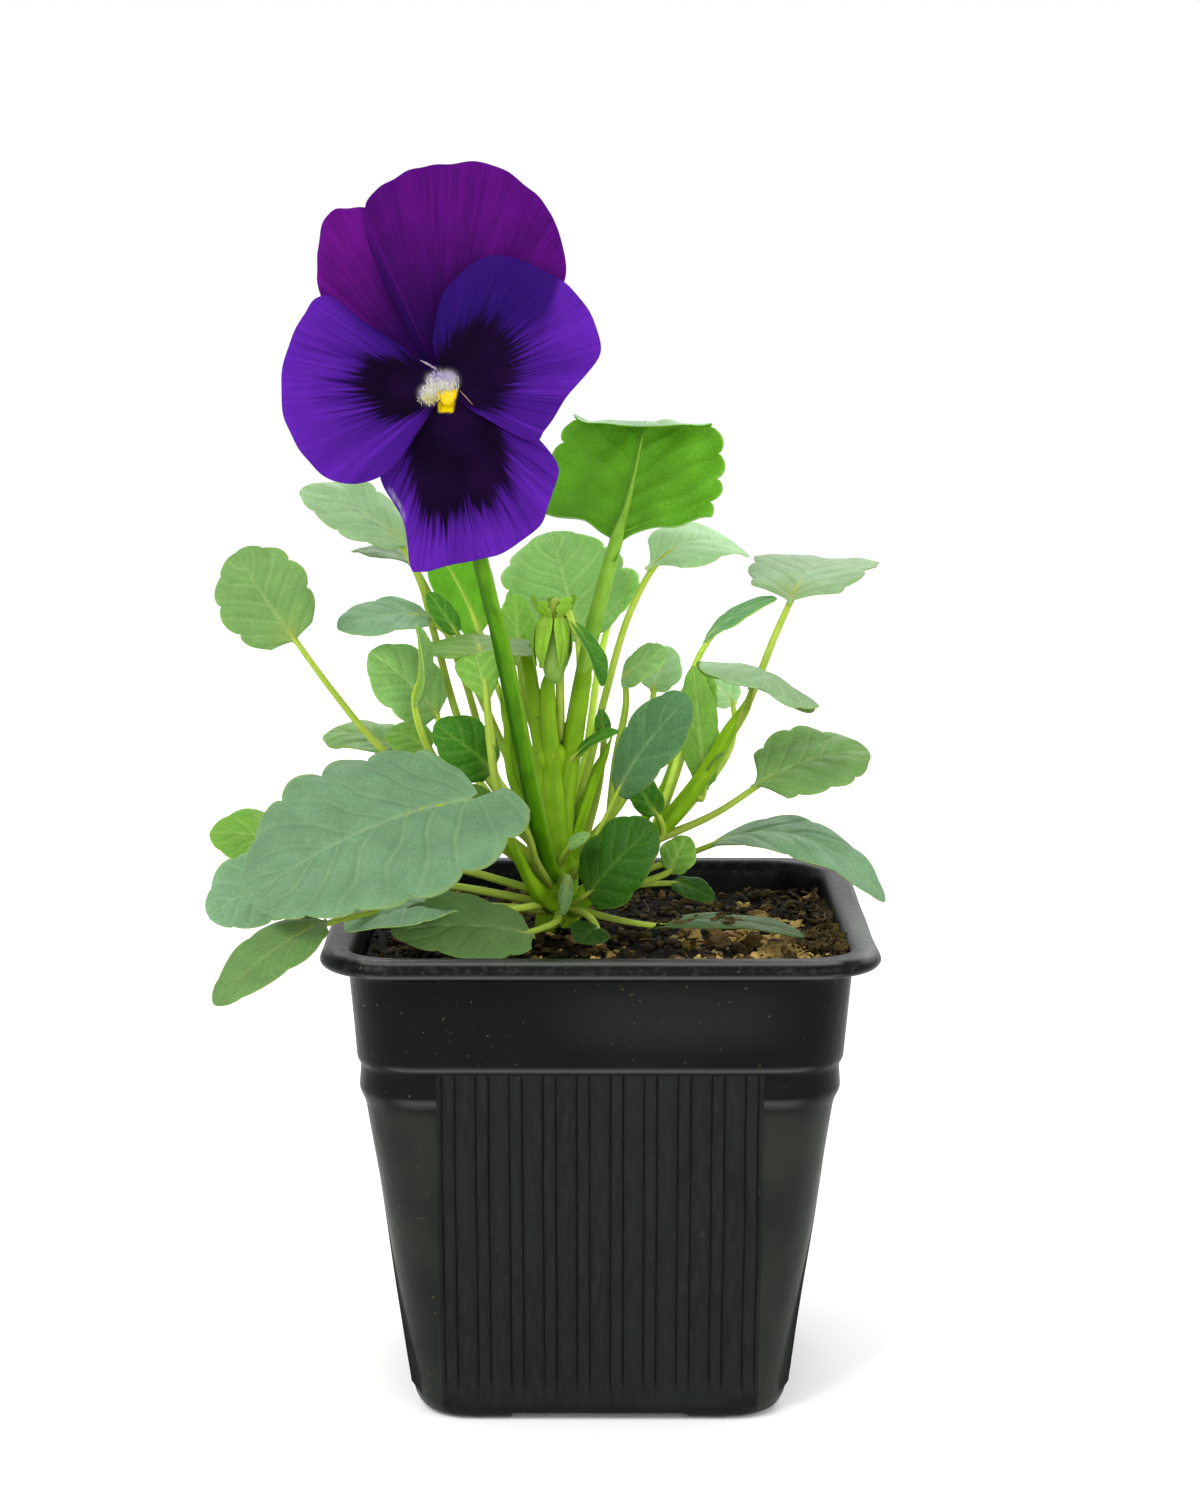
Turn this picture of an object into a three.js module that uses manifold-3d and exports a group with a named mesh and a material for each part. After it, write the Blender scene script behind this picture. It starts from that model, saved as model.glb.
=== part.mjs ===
// Potted pansy planter: a square nursery pot of peat with one flowering pansy.
// Millimetres, +Z up. The origin is the middle of the pot's underside, and the bloom faces -Y.
import * as THREE from 'three';
import Module from 'manifold-3d';

const wasm = await Module();
wasm.setup();

// ---------------------------------------------------------------- driving dimensions
const LIP_HALF = 51;            // half the width across the pot's lip
const LIP_TOP = 89;
const WALL = 1.1;
const STEP_HEIGHT = 67.8;       // where the plain upper band steps in to the body
const SOLE = -2;                // the underside, among the heights below; the part is raised by it at the end
const FOOT_LIFT = 1.5;          // height of the corner feet
const FOOT_SPACING = 33;        // clear width between two corner feet
const RIB_COUNT = 10;           // on each face
const RIB_PITCH = 6.1;
const RIB_WIDTH = 2.1;
const SOIL_LEVEL = 83;
const GAP = 0.3;                // clearance between neighbouring pieces
const BLADE_HALF = 0.35;        // half the thickness of a leaf
const BROAD_LEAF = 18.6;        // leaves wider than this have a bent cross-section
const PETAL_HALF = 0.3;         // half the thickness of a petal
const CROWN = [-8, 2];          // where the plant leaves the soil
const CROWN_RADIUS = 4.2;

// ---------------------------------------------------------------- materials
function finish(color, roughness) {
  return new THREE.MeshStandardMaterial({ color, roughness, metalness: 0, flatShading: true });
}

const black = finish(0x1c2020, 0.35);
const peat = finish(0x3b2a1c, 0.95);
const paleGreen = finish(0x9cba3c, 0.55);
const stalkGreen = finish(0x3d7a25, 0.5);
const violet = finish(0x4d1ca0, 0.6);
const magenta = finish(0x621372, 0.6);
const yellow = finish(0xf0cf1e, 0.6);
const greens = {
  grey: finish(0x78a882, 0.6),
  dark: finish(0x3c7040, 0.6),
  bright: finish(0x6cab2c, 0.55),
};

// ---------------------------------------------------------------- solids from points
const vector = (p) => new THREE.Vector3(p[0], p[1], p[2]);

function solidFrom(points, faces) {
  const vertProperties = new Float32Array(points.flatMap((p) => [p.x, p.y, p.z]));
  const triVerts = new Uint32Array(faces.flat());
  return new wasm.Manifold(new wasm.Mesh({ numProp: 3, vertProperties, triVerts }));
}

function solidFromGeometry(geometry, matrix = new THREE.Matrix4()) {
  const source = geometry.applyMatrix4(matrix);
  const position = source.getAttribute('position');
  const order = source.index ? [...source.index.array] : [...Array(position.count).keys()];
  const points = [];
  const seen = new Map();
  const merged = order.map((i) => {
    const p = new THREE.Vector3().fromBufferAttribute(position, i);
    const key = p.toArray().map((c) => Math.round(c * 1e4)).join();
    if (!seen.has(key)) seen.set(key, points.push(p) - 1);
    return seen.get(key);
  });
  const faces = [];
  for (let i = 0; i < merged.length; i += 3) {
    const face = merged.slice(i, i + 3);
    if (new Set(face).size === 3) faces.push(face);
  }
  return solidFrom(points, faces);
}

function meshOf(name, solid, material) {
  const { vertProperties, triVerts } = solid.getMesh();
  const geometry = new THREE.BufferGeometry();
  geometry.setAttribute('position', new THREE.BufferAttribute(new Float32Array(vertProperties), 3));
  geometry.setIndex(new THREE.BufferAttribute(new Uint32Array(triVerts), 1));
  const mesh = new THREE.Mesh(geometry, material);
  mesh.name = name;
  return mesh;
}

function largestBody(solid) {
  const bodies = solid.decompose();
  bodies.sort((a, b) => b.volume() - a.volume());
  return bodies[0];
}

function unionOf(solids) {
  return solids.reduce((sum, solid) => sum.add(solid));
}

// A closed loop of rings, each with the same number of points, capped at both ends.
function loft(rings) {
  const sides = rings[0].length;
  const points = rings.flat();
  const faces = [];
  for (let k = 0; k + 1 < rings.length; k += 1) {
    for (let m = 0; m < sides; m += 1) {
      const next = (m + 1) % sides;
      const [a, b] = [k * sides + m, k * sides + next];
      faces.push([a, b, b + sides], [a, b + sides, a + sides]);
    }
  }
  const last = (rings.length - 1) * sides;
  for (let m = 1; m + 1 < sides; m += 1) {
    faces.push([0, m + 1, m], [last, last + m, last + m + 1]);
  }
  return solidFrom(points, faces);
}

// A tapered round stalk along a smooth curve through the given points.
function stalkSolid(path, radii, swell = 0, sides = 5) {
  const curve = new THREE.CatmullRomCurve3(path.map(vector));
  const steps = Math.max(2, path.length);
  const frames = curve.computeFrenetFrames(steps);
  const rings = [];
  for (let k = 0; k <= steps; k += 1) {
    const t = k / steps;
    const centre = curve.getPointAt(t);
    if (k === 0) centre.addScaledVector(frames.tangents[0], -swell);
    if (k === steps) centre.addScaledVector(frames.tangents[k], swell);
    const radius = radii[0] + (radii[1] - radii[0]) * t + swell;
    const ring = [];
    for (let m = 0; m < sides; m += 1) {
      const angle = (2 * Math.PI * m) / sides;
      ring.push(centre.clone()
        .addScaledVector(frames.normals[k], radius * Math.cos(angle))
        .addScaledVector(frames.binormals[k], radius * Math.sin(angle)));
    }
    rings.push(ring);
  }
  return loft(rings);
}

// A thin sheet of even thickness over surface(t, s), split alike on both faces.
function sheetSolid(surface, ts, ss, half) {
  const step = 1e-3;
  const points = [];
  for (const side of [half, -half]) {
    for (const t of ts) {
      for (const s of ss) {
        const along = surface(t + step, s).sub(surface(t - step, s));
        const across = surface(t, s + step).sub(surface(t, s - step));
        const normal = along.cross(across).normalize();
        points.push(surface(t, s).addScaledVector(normal, side));
      }
    }
  }
  const columns = ss.length;
  const below = ts.length * columns;
  const faces = [];
  const addQuad = (a, b, c, d) => faces.push([a, b, c], [a, c, d]);
  for (let i = 0; i + 1 < ts.length; i += 1) {
    for (let j = 0; j + 1 < columns; j += 1) {
      const a = i * columns + j;
      const [b, c, d] = [a + columns, a + columns + 1, a + 1];
      faces.push([a, b, c], [a, c, d]);
      faces.push([below + a, below + c, below + b], [below + a, below + d, below + c]);
    }
    const left = i * columns;
    const right = left + columns - 1;
    addQuad(left, below + left, below + left + columns, left + columns);
    addQuad(right, right + columns, below + right + columns, below + right);
  }
  const end = (ts.length - 1) * columns;
  for (let j = 0; j + 1 < columns; j += 1) {
    addQuad(j, j + 1, below + j + 1, below + j);
    addQuad(end + j, below + end + j, below + end + j + 1, end + j + 1);
  }
  return solidFrom(points, faces);
}

// ---------------------------------------------------------------- pot
function roundedSquare(half, radius, z, cornerSteps = 3, sideSteps = 1) {
  const ring = [];
  const reach = half - radius;
  for (let corner = 0; corner < 4; corner += 1) {
    const turn = (corner * Math.PI) / 2;
    const centre = new THREE.Vector2(reach, reach).rotateAround(new THREE.Vector2(), turn);
    for (let k = 0; k <= cornerSteps; k += 1) {
      const angle = turn + (k / cornerSteps) * (Math.PI / 2);
      ring.push(new THREE.Vector3(
        centre.x + radius * Math.cos(angle), centre.y + radius * Math.sin(angle), z));
    }
    for (let k = 1; k < sideSteps; k += 1) {
      const along = new THREE.Vector2(reach * (1 - (2 * k) / sideSteps), half);
      along.rotateAround(new THREE.Vector2(), turn);
      ring.push(new THREE.Vector3(along.x, along.y, z));
    }
  }
  return ring;
}

// Outer wall from the underside to the lip, then the inner wall down: half width, height, corner radius.
const POT_OUTSIDE = [
  [31.9, SOLE, 9], [33.8, SOLE + 0.9, 10], [34.9, SOLE + 3, 11], [43, 59.3, 12],
  [44.1, 62.1, 12], [43.8, 66.4, 12], [44.5, STEP_HEIGHT, 12], [46, 84.6, 12], [50.3, 85.8, 14],
  [LIP_HALF, 87, 14], [LIP_HALF - 0.6, LIP_TOP - 0.5, 14], [LIP_HALF - 1.6, LIP_TOP, 13.5],
];
const POT_INSIDE = [
  [47, LIP_TOP, 12], [45.8, LIP_TOP - 0.6, 11.5], [45.1, LIP_TOP - 2, 11],
  [46 - WALL, 84.6, 11], [44.5 - WALL, 68.4, 11], [43.8 - WALL, 66.8, 11], [44.1 - WALL, 62.1, 11],
  [43 - WALL, 59.9, 11], [34.2, SOLE + 7, 10], [32, SOLE + 4, 9], [28, SOLE + 3, 8],
];

// The flat panel of upright ribs on one face, leaning with the wall from its foot to the step.
const PANEL = {
  foot: { out: 35.2, z: SOLE + 5 }, top: { out: 44.1, z: STEP_HEIGHT - 1 }, depth: 0.7, proud: 0.45,
};
const PANEL_HALF = ((RIB_COUNT - 1) / 2) * RIB_PITCH + RIB_WIDTH / 2 + 0.9;

function panelPrism(outline, turn) {
  const { foot, top } = PANEL;
  const shape = new THREE.Shape(outline.map(([x, y]) => new THREE.Vector2(x, y)));
  const height = top.z - foot.z;
  const geometry = new THREE.ExtrudeGeometry(shape, { depth: height, steps: 1, bevelEnabled: false });
  const lean = new THREE.Matrix4().makeBasis(new THREE.Vector3(1, 0, 0), new THREE.Vector3(0, 1, 0),
    new THREE.Vector3(0, (top.out - foot.out) / height, 1));
  lean.setPosition(0, foot.out, foot.z);
  return solidFromGeometry(geometry, new THREE.Matrix4().makeRotationZ(turn).multiply(lean));
}

function ribbedPanel(turn) {
  const { depth, proud } = PANEL;
  const outline = [[-PANEL_HALF, -depth], [PANEL_HALF, -depth], [PANEL_HALF, 0]];
  for (let rib = RIB_COUNT - 1; rib >= 0; rib -= 1) {
    const middle = (rib - (RIB_COUNT - 1) / 2) * RIB_PITCH;
    const [right, left] = [middle + RIB_WIDTH / 2, middle - RIB_WIDTH / 2];
    outline.push([right, 0], [right, proud], [left, proud], [left, 0]);
  }
  outline.push([-PANEL_HALF, 0]);
  return panelPrism(outline, turn);
}

// The ring under the step stops at the panel, so the wall's bulge is cut away in front of it.
function panelClearance(turn) {
  const inside = -0.1;
  const outside = 3;
  const half = PANEL_HALF;
  const outline = [[-half, inside], [half, inside], [half, outside], [-half, outside]];
  return panelPrism(outline, turn);
}

function uprightCylinder(radius, bottom, top, x, y, sides = 16) {
  const geometry = new THREE.CylinderGeometry(radius, radius, top - bottom, sides);
  geometry.rotateX(Math.PI / 2);
  geometry.translate(x, y, (top + bottom) / 2);
  return solidFromGeometry(geometry);
}

function box(width, depth, height, z) {
  const geometry = new THREE.BoxGeometry(width, depth, height);
  geometry.translate(0, 0, z);
  return solidFromGeometry(geometry);
}

function potSolid() {
  const rings = [...POT_OUTSIDE, ...POT_INSIDE].map(([half, z, radius]) => roundedSquare(half, radius, z));
  let pot = loft(rings);
  const channelLength = 2 * LIP_HALF;
  pot = pot.subtract(box(FOOT_SPACING, channelLength, 2 * FOOT_LIFT, SOLE));
  pot = pot.subtract(box(channelLength, FOOT_SPACING, 2 * FOOT_LIFT, SOLE));
  const padRadius = 8;
  pot = pot.add(uprightCylinder(padRadius, SOLE, SOLE + FOOT_LIFT + 0.5, 0, 0));
  const drain = { radius: 4, out: 22 };
  for (let turn = 0; turn < 4; turn += 1) {
    const angle = (turn * Math.PI) / 2;
    const x = drain.out * Math.round(Math.cos(angle));
    const y = drain.out * Math.round(Math.sin(angle));
    pot = pot.subtract(uprightCylinder(drain.radius, SOLE - 1, SOLE + 5, x, y, 12));
    pot = pot.subtract(panelClearance(angle)).add(ribbedPanel(angle));
  }
  return pot;
}

// ---------------------------------------------------------------- soil
function seededRandom(seed) {
  let state = seed;
  return () => {
    state = (state * 1664525 + 1013904223) % 4294967296;
    return state / 4294967296;
  };
}

function soilHeight(x, y) {
  const rough = Math.sin(x * 0.31 + 1.3) * Math.cos(y * 0.27) + 0.6 * Math.sin(x * 0.13 - y * 0.41);
  const fine = Math.sin(x * 1.1 + y * 0.7) * Math.cos(y * 0.9 - x * 0.4);
  const mound = 2 * Math.exp(-((x - CROWN[0]) ** 2 + (y - CROWN[1]) ** 2) / 150);
  return SOIL_LEVEL + 0.5 * rough + 0.3 * fine + mound;
}

function granule(random) {
  const size = 1.5 + 1.2 * random();
  const x = 74 * (random() - 0.5);
  const y = 74 * (random() - 0.5);
  const geometry = new THREE.IcosahedronGeometry(size, 0);
  geometry.scale(1, 0.8 + 0.3 * random(), 0.75);
  geometry.rotateX(3 * random());
  geometry.rotateZ(3 * random());
  geometry.translate(x, y, soilHeight(x, y) + 0.15 * size);
  return solidFromGeometry(geometry);
}

function soilSolid() {
  const sides = [[27.5, SOLE + 3.4, 7.5], [33.3, SOLE + 7.3, 9.5], [41.3, 59.5, 10.6], [42.2, 66.5, 10.6]];
  const rings = sides.map(([half, z, radius]) => roundedSquare(half, radius, z, 3, 4));
  const edge = roundedSquare(44.2, 10.6, 0, 3, 4);
  const innerRings = 7;
  for (let k = 0; k < innerRings; k += 1) {
    const scale = 1 - k / innerRings;
    rings.push(edge.map((p) => {
      const point = p.clone().multiplyScalar(scale);
      point.z = soilHeight(point.x, point.y);
      return point;
    }));
  }
  let soil = loft(rings);
  const random = seededRandom(11);
  const granuleCount = 18;
  for (let k = 0; k < granuleCount; k += 1) soil = soil.add(granule(random));
  const hole = uprightCylinder(CROWN_RADIUS + 2 * GAP, 71 - GAP, 95, CROWN[0], CROWN[1], 12);
  return largestBody(soil.subtract(hole));
}

// ---------------------------------------------------------------- leaves
// base and tip: the two ends of the blade. up: the way its upper face looks. width: its full width.
// taper: how fast it widens from the base, and how fast it narrows to the tip (0.5 and 0.5 is an ellipse).
// fold: degrees that each half is raised. arch: how high the middle rises, as a share of the length.
// curl: how far the edges drop. lobe: how far each of the two sides reaches back past the base.
// stalk: the leaf stalk from the blade down to the stem. thick: its radius at the blade and at the foot.
const LEAF_DEFAULTS = {
  taper: [0.55, 0.6], teeth: 4, fold: 8, arch: 0.08, curl: 0.1, lobe: [0, 0], thick: [0.7, 0.95],
  green: 'grey',
};

const LEAVES = [
  { name: 'leaf_front_left_large', base: [-21, -24, 115], tip: [-63, -44, 99], up: [-0.2, -0.75, 0.62],
    width: 36, taper: [0.4, 0.55], teeth: 8, arch: 0.1, lobe: [0.06, 0.18], fold: 4,
    stalk: [[-15, -18, 108], [-12, -9, 99], [-9, -1, 92]] },
  { name: 'leaf_left_round', base: [-57, -8, 141], tip: [-68.5, -5, 157.5], up: [-0.2, -0.9, 0.35],
    width: 18.5, taper: [0.5, 0.5], teeth: 5,
    stalk: [[-50, -7, 131], [-42, -6, 121], [-24, -4, 105], [-9, 0, 93]] },
  { name: 'leaf_upper_left', base: [-37, 12, 157], tip: [-58, 18, 168], up: [-0.1, -0.4, 0.9],
    width: 17, teeth: 6, stalk: [[-35, 11, 151], [-32, 10, 140], [-25, 7, 118], [-9, 2, 97]] },
  { name: 'leaf_upper_left_narrow', base: [-36, 22, 153], tip: [-49, 26, 155], up: [0, -0.1, 1],
    width: 10, stalk: [[-33, 20, 146], [-27, 16, 132], [-20, 9, 112], [-8, 3, 96]] },
  { name: 'leaf_left_oval', base: [-32.5, 8, 144], tip: [-50, 1, 142.5], up: [-0.1, -0.45, 0.9],
    width: 14, stalk: [[-29, 10, 140], [-24, 9.5, 130], [-16, 6, 113], [-8, 2, 100]] },
  { name: 'leaf_left_folded', base: [-35, -12, 129], tip: [-34, -17, 145], up: [0.92, -0.3, 0.2],
    green: 'bright', width: 8, fold: 30, stalk: [[-33, -11, 123], [-22, -7, 106], [-9, 0, 94]] },
  { name: 'leaf_left_middle', base: [-31, 5, 125], tip: [-44, 1, 138], up: [-0.2, -0.65, 0.72],
    width: 15, stalk: [[-28, 5, 119], [-20, 4, 108], [-8, 2, 95]] },
  { name: 'leaf_level_strap', base: [-22, -14, 139], tip: [-25, 4, 141], up: [0, -0.15, 1],
    width: 23, fold: -6, stalk: [[-21.3, -14.5, 134], [-20.5, -13, 122], [-18.5, -10, 111], [-9, -1, 98]] },
  { name: 'leaf_left_dark', base: [-20, -5, 116], tip: [-31, -12, 126], up: [-0.1, -0.85, 0.45],
    green: 'dark', width: 12, stalk: [[-17, -4, 111], [-8, 1, 104]] },
  { name: 'leaf_left_rear', base: [-40, 22, 116], tip: [-55, 30, 118], up: [0, -0.3, 0.95], width: 15,
    stalk: [[-34, 18, 113], [-22, 10, 103], [-8, 3, 92]] },
  { name: 'leaf_left_rear_small', base: [-33, 15, 117], tip: [-42, 20, 120], up: [0, -0.6, 0.8],
    green: 'bright', width: 9, teeth: 3, stalk: [[-29, 12, 112], [-20, 7, 103], [-8, 3, 94]] },
  { name: 'leaf_low_left', base: [-56, 0, 100], tip: [-75, 0, 103], up: [0, -0.6, 0.8], green: 'bright',
    width: 15, stalk: [[-44, 1, 99], [-28, 1, 96], [-8, 2, 90]] },
  { name: 'leaf_low_left_front', base: [-56, -14, 98], tip: [-73, -20, 91], up: [-0.2, -0.75, 0.65],
    width: 18, stalk: [[-44, -11, 96], [-28, -7, 94], [-8, 1, 88.5]] },
  { name: 'leaf_hanging_left', base: [-49, -40, 94.5], tip: [-68, -53, 82], up: [-0.3, -0.7, 0.65],
    width: 12, stalk: [[-40, -30, 94], [-24, -16, 92], [-8, 1, 87.5]] },
  { name: 'leaf_under_large', base: [-26, -22, 93], tip: [-46, -36, 91.5], up: [-0.1, -0.2, 1],
    width: 16, stalk: [[-18, -14, 91], [-8, 1, 89.5]] },
  { name: 'leaf_front_on_soil', base: [-12, -24, 88], tip: [-38, -34, 91], up: [0.05, -0.6, 0.8],
    green: 'dark', width: 17, teeth: 6, stalk: [[-9, -18, 89], [-8, -8, 88.5], [-8, 1, 88]] },
  { name: 'leaf_right_on_soil', base: [9, -14, 87.3], tip: [38, -22, 87.5], up: [0, -0.1, 1],
    width: 13, teeth: 5, stalk: [[4, -10, 88], [-8, 1, 89]] },
  { name: 'leaf_small_round', base: [0, -17, 88.2], tip: [-4, -24, 86.8], up: [0, -0.6, 0.8], green: 'dark',
    width: 8, teeth: 3, stalk: [[-2, -11, 89], [-8, 1, 89]] },
  { name: 'leaf_dark_round', base: [-2.5, -8, 92], tip: [10.5, -15, 107], up: [-0.35, -0.8, 0.45],
    green: 'dark', width: 16, taper: [0.5, 0.5], stalk: [[-5, -5, 90.5], [-8, 1, 89.5]] },
  { name: 'leaf_blue_oval', base: [3, -10, 112], tip: [16.5, -19, 132], up: [-0.45, -0.8, 0.35],
    green: 'dark', width: 13, taper: [0.6, 0.45], stalk: [[0, -8, 105], [-4, -4, 97], [-8, 1, 92]] },
  { name: 'leaf_tall', base: [2.8, 0, 159.5], tip: [9, 16, 181], up: [0.3, 0.85, -0.7], green: 'bright',
    width: 39, taper: [0.8, 0.3], teeth: 9, fold: 4, arch: 0.06, thick: [1.1, 1.7],
    stalk: [[0.5, 0, 150], [-3, 0.5, 135], [-6, 1.5, 118], [-8, 2, 104]] },
  { name: 'leaf_behind_centre', base: [-4, 22, 137], tip: [-10, 36, 158], up: [0, -0.8, 0.6],
    width: 26, teeth: 6, stalk: [[-4, 20, 131], [-5, 12, 115], [-8, 3, 99]] },
  { name: 'leaf_behind_small', base: [2, 27, 142], tip: [6, 33, 151], up: [-0.3, -0.8, 0.55],
    width: 9, teeth: 3, stalk: [[0, 23, 134], [-3, 12, 115], [-8, 3, 97]] },
  { name: 'leaf_centre_upright', base: [-15.5, 8, 134], tip: [-16.5, 12, 148], up: [0, -0.92, 0.35],
    width: 8, teeth: 3, stalk: [[-14, 6, 126], [-8, 2, 112]] },
  { name: 'leaf_behind_bloom', base: [-23, 12, 140], tip: [-33, 18, 158], up: [0.3, 0.85, 0.1],
    green: 'bright', width: 12, stalk: [[-20, 11, 130], [-13, 6, 114], [-8, 2, 106]] },
  { name: 'leaf_upper_right_arched', base: [9, 20, 152], tip: [29, 34, 154], up: [0.05, -0.4, 0.92],
    width: 17, arch: 0.18, stalk: [[6, 18, 144], [1, 12, 128], [-3, 6, 112], [-8, 3, 98]] },
  { name: 'leaf_far_right', base: [36, 4, 147], tip: [47, 30, 153], up: [-0.05, -0.25, 0.97],
    width: 25, taper: [0.5, 0.5], teeth: 6, thick: [0.7, 0.9], stalk: [[33.5, 3, 141], [28.5, 0, 129]] },
  { name: 'leaf_right_middle', base: [28.5, -3, 131.5], tip: [30, -19, 133.5], up: [0.35, 0.1, 0.93],
    width: 25, fold: 12, taper: [0.5, 0.5], stalk: [[28, 0, 127], [26, 0, 121]] },
  { name: 'leaf_right_large', base: [29, 0, 112], tip: [52, 8, 118], up: [0, -0.5, 0.85],
    width: 20, teeth: 6, stalk: [[22, -1, 107], [9, 0, 101]] },
  { name: 'leaf_right_over_rim', base: [21, 14, 98], tip: [55, 1, 89.5], up: [0.1, -0.35, 0.93],
    width: 15, arch: 0.22, teeth: 6, stalk: [[12, 10, 95], [-8, 3, 90]] },
  { name: 'leaf_right_thin', base: [20, 12, 138.5], tip: [34, 8, 147.5], up: [-0.5, -0.25, 0.83],
    green: 'dark', width: 9, teeth: 5, stalk: [[18, 11, 133], [16, 6, 120], [10, 1, 102]] },
  { name: 'leaf_right_pale', base: [27, 22, 125], tip: [19, 26, 131], up: [0, -0.8, 0.6], green: 'bright',
    width: 9, stalk: [[26, 18, 118], [18, 8, 108], [6, 1, 97]] },
  { name: 'leaf_right_inner', base: [4, 6, 132], tip: [13, 1, 137.5], up: [-0.2, -0.6, 0.8],
    width: 9, teeth: 3, stalk: [[5, 6, 127], [3, 4, 116], [1, 1, 94]] },
  { name: 'leaf_right_wing', base: [20.5, 3, 111], tip: [18, 4, 135], up: [-0.1, -0.95, 0.1],
    green: 'bright', width: 8, stalk: [[19.5, 2, 109.5], [18, 0, 111]] },
  { name: 'leaf_right_soil_small', base: [14, 6, 92.5], tip: [22, 2, 89.5], up: [0, -0.6, 0.8],
    green: 'dark', width: 6, teeth: 3, stalk: [[6, 4, 92], [-8, 2, 91]] },
  { name: 'leaf_right_curled', base: [13.5, -4, 96], tip: [17, -3, 103], up: [-0.4, -0.8, 0.3],
    green: 'bright', width: 8, teeth: 3, stalk: [[8, -3, 94], [0, 0, 92]] },
];

const sheetRow = (k, rows) => 0.5 - 0.5 * Math.cos((Math.PI * k) / rows);

// How a blade lies: its axis from base to tip, its side and its upper normal.
function bladeFrame(leaf) {
  const base = vector(leaf.base);
  const axis = vector(leaf.tip).sub(base);
  const length = axis.length();
  axis.normalize();
  const side = vector(leaf.up).cross(axis).normalize();
  const up = axis.clone().cross(side);
  return { base, axis, side, up, length };
}

// A point of the blade: t runs from the base to the tip, s from one edge to the other.
function bladeSurface(leaf, swell = 0) {
  const { base, axis, side, up, length } = bladeFrame(leaf);
  const [widen, narrow] = leaf.taper;
  const peak = widen / (widen + narrow);
  const toothDepth = 0.09;
  const leastHalf = 0.5;
  return (t, s) => {
    const u = THREE.MathUtils.clamp(t, 0, 1);
    const around = Math.acos(1 - 2 * u) / Math.PI;
    const tooth = 1 - toothDepth + toothDepth * Math.abs(Math.sin(Math.PI * leaf.teeth * around));
    const swelling = (u / peak) ** widen * ((1 - u) / (1 - peak)) ** narrow;
    const half = Math.max(leastHalf, 0.5 * leaf.width * swelling * tooth) + swell;
    const fold = THREE.MathUtils.degToRad(leaf.fold);
    const across = s * half * Math.cos(fold);
    const rise = Math.abs(s) * half * Math.sin(fold) - leaf.curl * half * s * s;
    const hump = 4 * u * (1 - u);
    const lobe = leaf.lobe[s < 0 ? 0 : 1];
    const x = t * length + swell * (2 * t - 1) - lobe * s * s * length * (1 - u) ** 3;
    const z = rise + leaf.arch * length * hump;
    return base.clone().addScaledVector(axis, x).addScaledVector(side, across).addScaledVector(up, z);
  };
}

function bladeSolid(leaf, swell = 0) {
  const rows = 2 * leaf.teeth;
  const ts = [...Array(rows + 1).keys()].map((k) => sheetRow(k, rows));
  const ss = leaf.width > BROAD_LEAF ? [-1, -0.55, 0, 0.55, 1] : [-1, 0, 1];
  return sheetSolid(bladeSurface(leaf, swell), ts, ss, BLADE_HALF + swell);
}

function leafSolid(leaf, swell = 0) {
  const start = bladeSurface(leaf)(0.12, 0).toArray();
  return bladeSolid(leaf, swell).add(stalkSolid([start, ...leaf.stalk], leaf.thick, swell));
}

// ---------------------------------------------------------------- stem
const STIPULES = [
  { base: [-9.5, 0, 88], tip: [-14, -8, 96], width: 4 },
  { base: [-7, -1, 88], tip: [-5, -7, 95], width: 3 },
  { base: [-10, 1, 91], tip: [-17, -2, 99], width: 4 },
  { base: [-8, 3, 93], tip: [-9, 11, 101], width: 4 },
  { base: [20, 0, 114.4], tip: [23.5, -3, 119], width: 3 },
  { base: [-7.6, 2, 117], tip: [-12, -2, 126], width: 4 },
];

function stemSolid(swell = 0) {
  const [x, y] = CROWN;
  const trunk = uprightCylinder(CROWN_RADIUS + swell, 71, 87, x, y, 12);
  const crown = stalkSolid([[x, y, 85], [x, y - 1, 91], [x, y - 0.5, 100]], [CROWN_RADIUS, 3], swell, 10);
  const centre = stalkSolid([[x, y, 94], [x + 0.3, y, 108], [x + 0.5, y, 124]], [3, 1.5], swell, 8);
  const shoot = [[x + 2, y - 2, 88], [3, 0, 95], [12, 0, 104], [20.5, 0, 115], [28, 0, 129]];
  const shootSolid = stalkSolid(shoot, [2.4, 1.3], swell, 8);
  const stipules = STIPULES.map((stipule) => bladeSolid(
    { ...LEAF_DEFAULTS, up: [0, -0.5, 1], teeth: 2, ...stipule }, swell));
  return unionOf([trunk, crown, centre, shootSolid, ...stipules]);
}

// ---------------------------------------------------------------- flower
const FLOWER_CENTRE = [-27.9, -25, 188.2];
const FLOWER_FACING = [0.05, -1, 0.06];
const EYE_RADIUS = 1.7;
const CLAW_RADIUS = 2.1;

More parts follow.
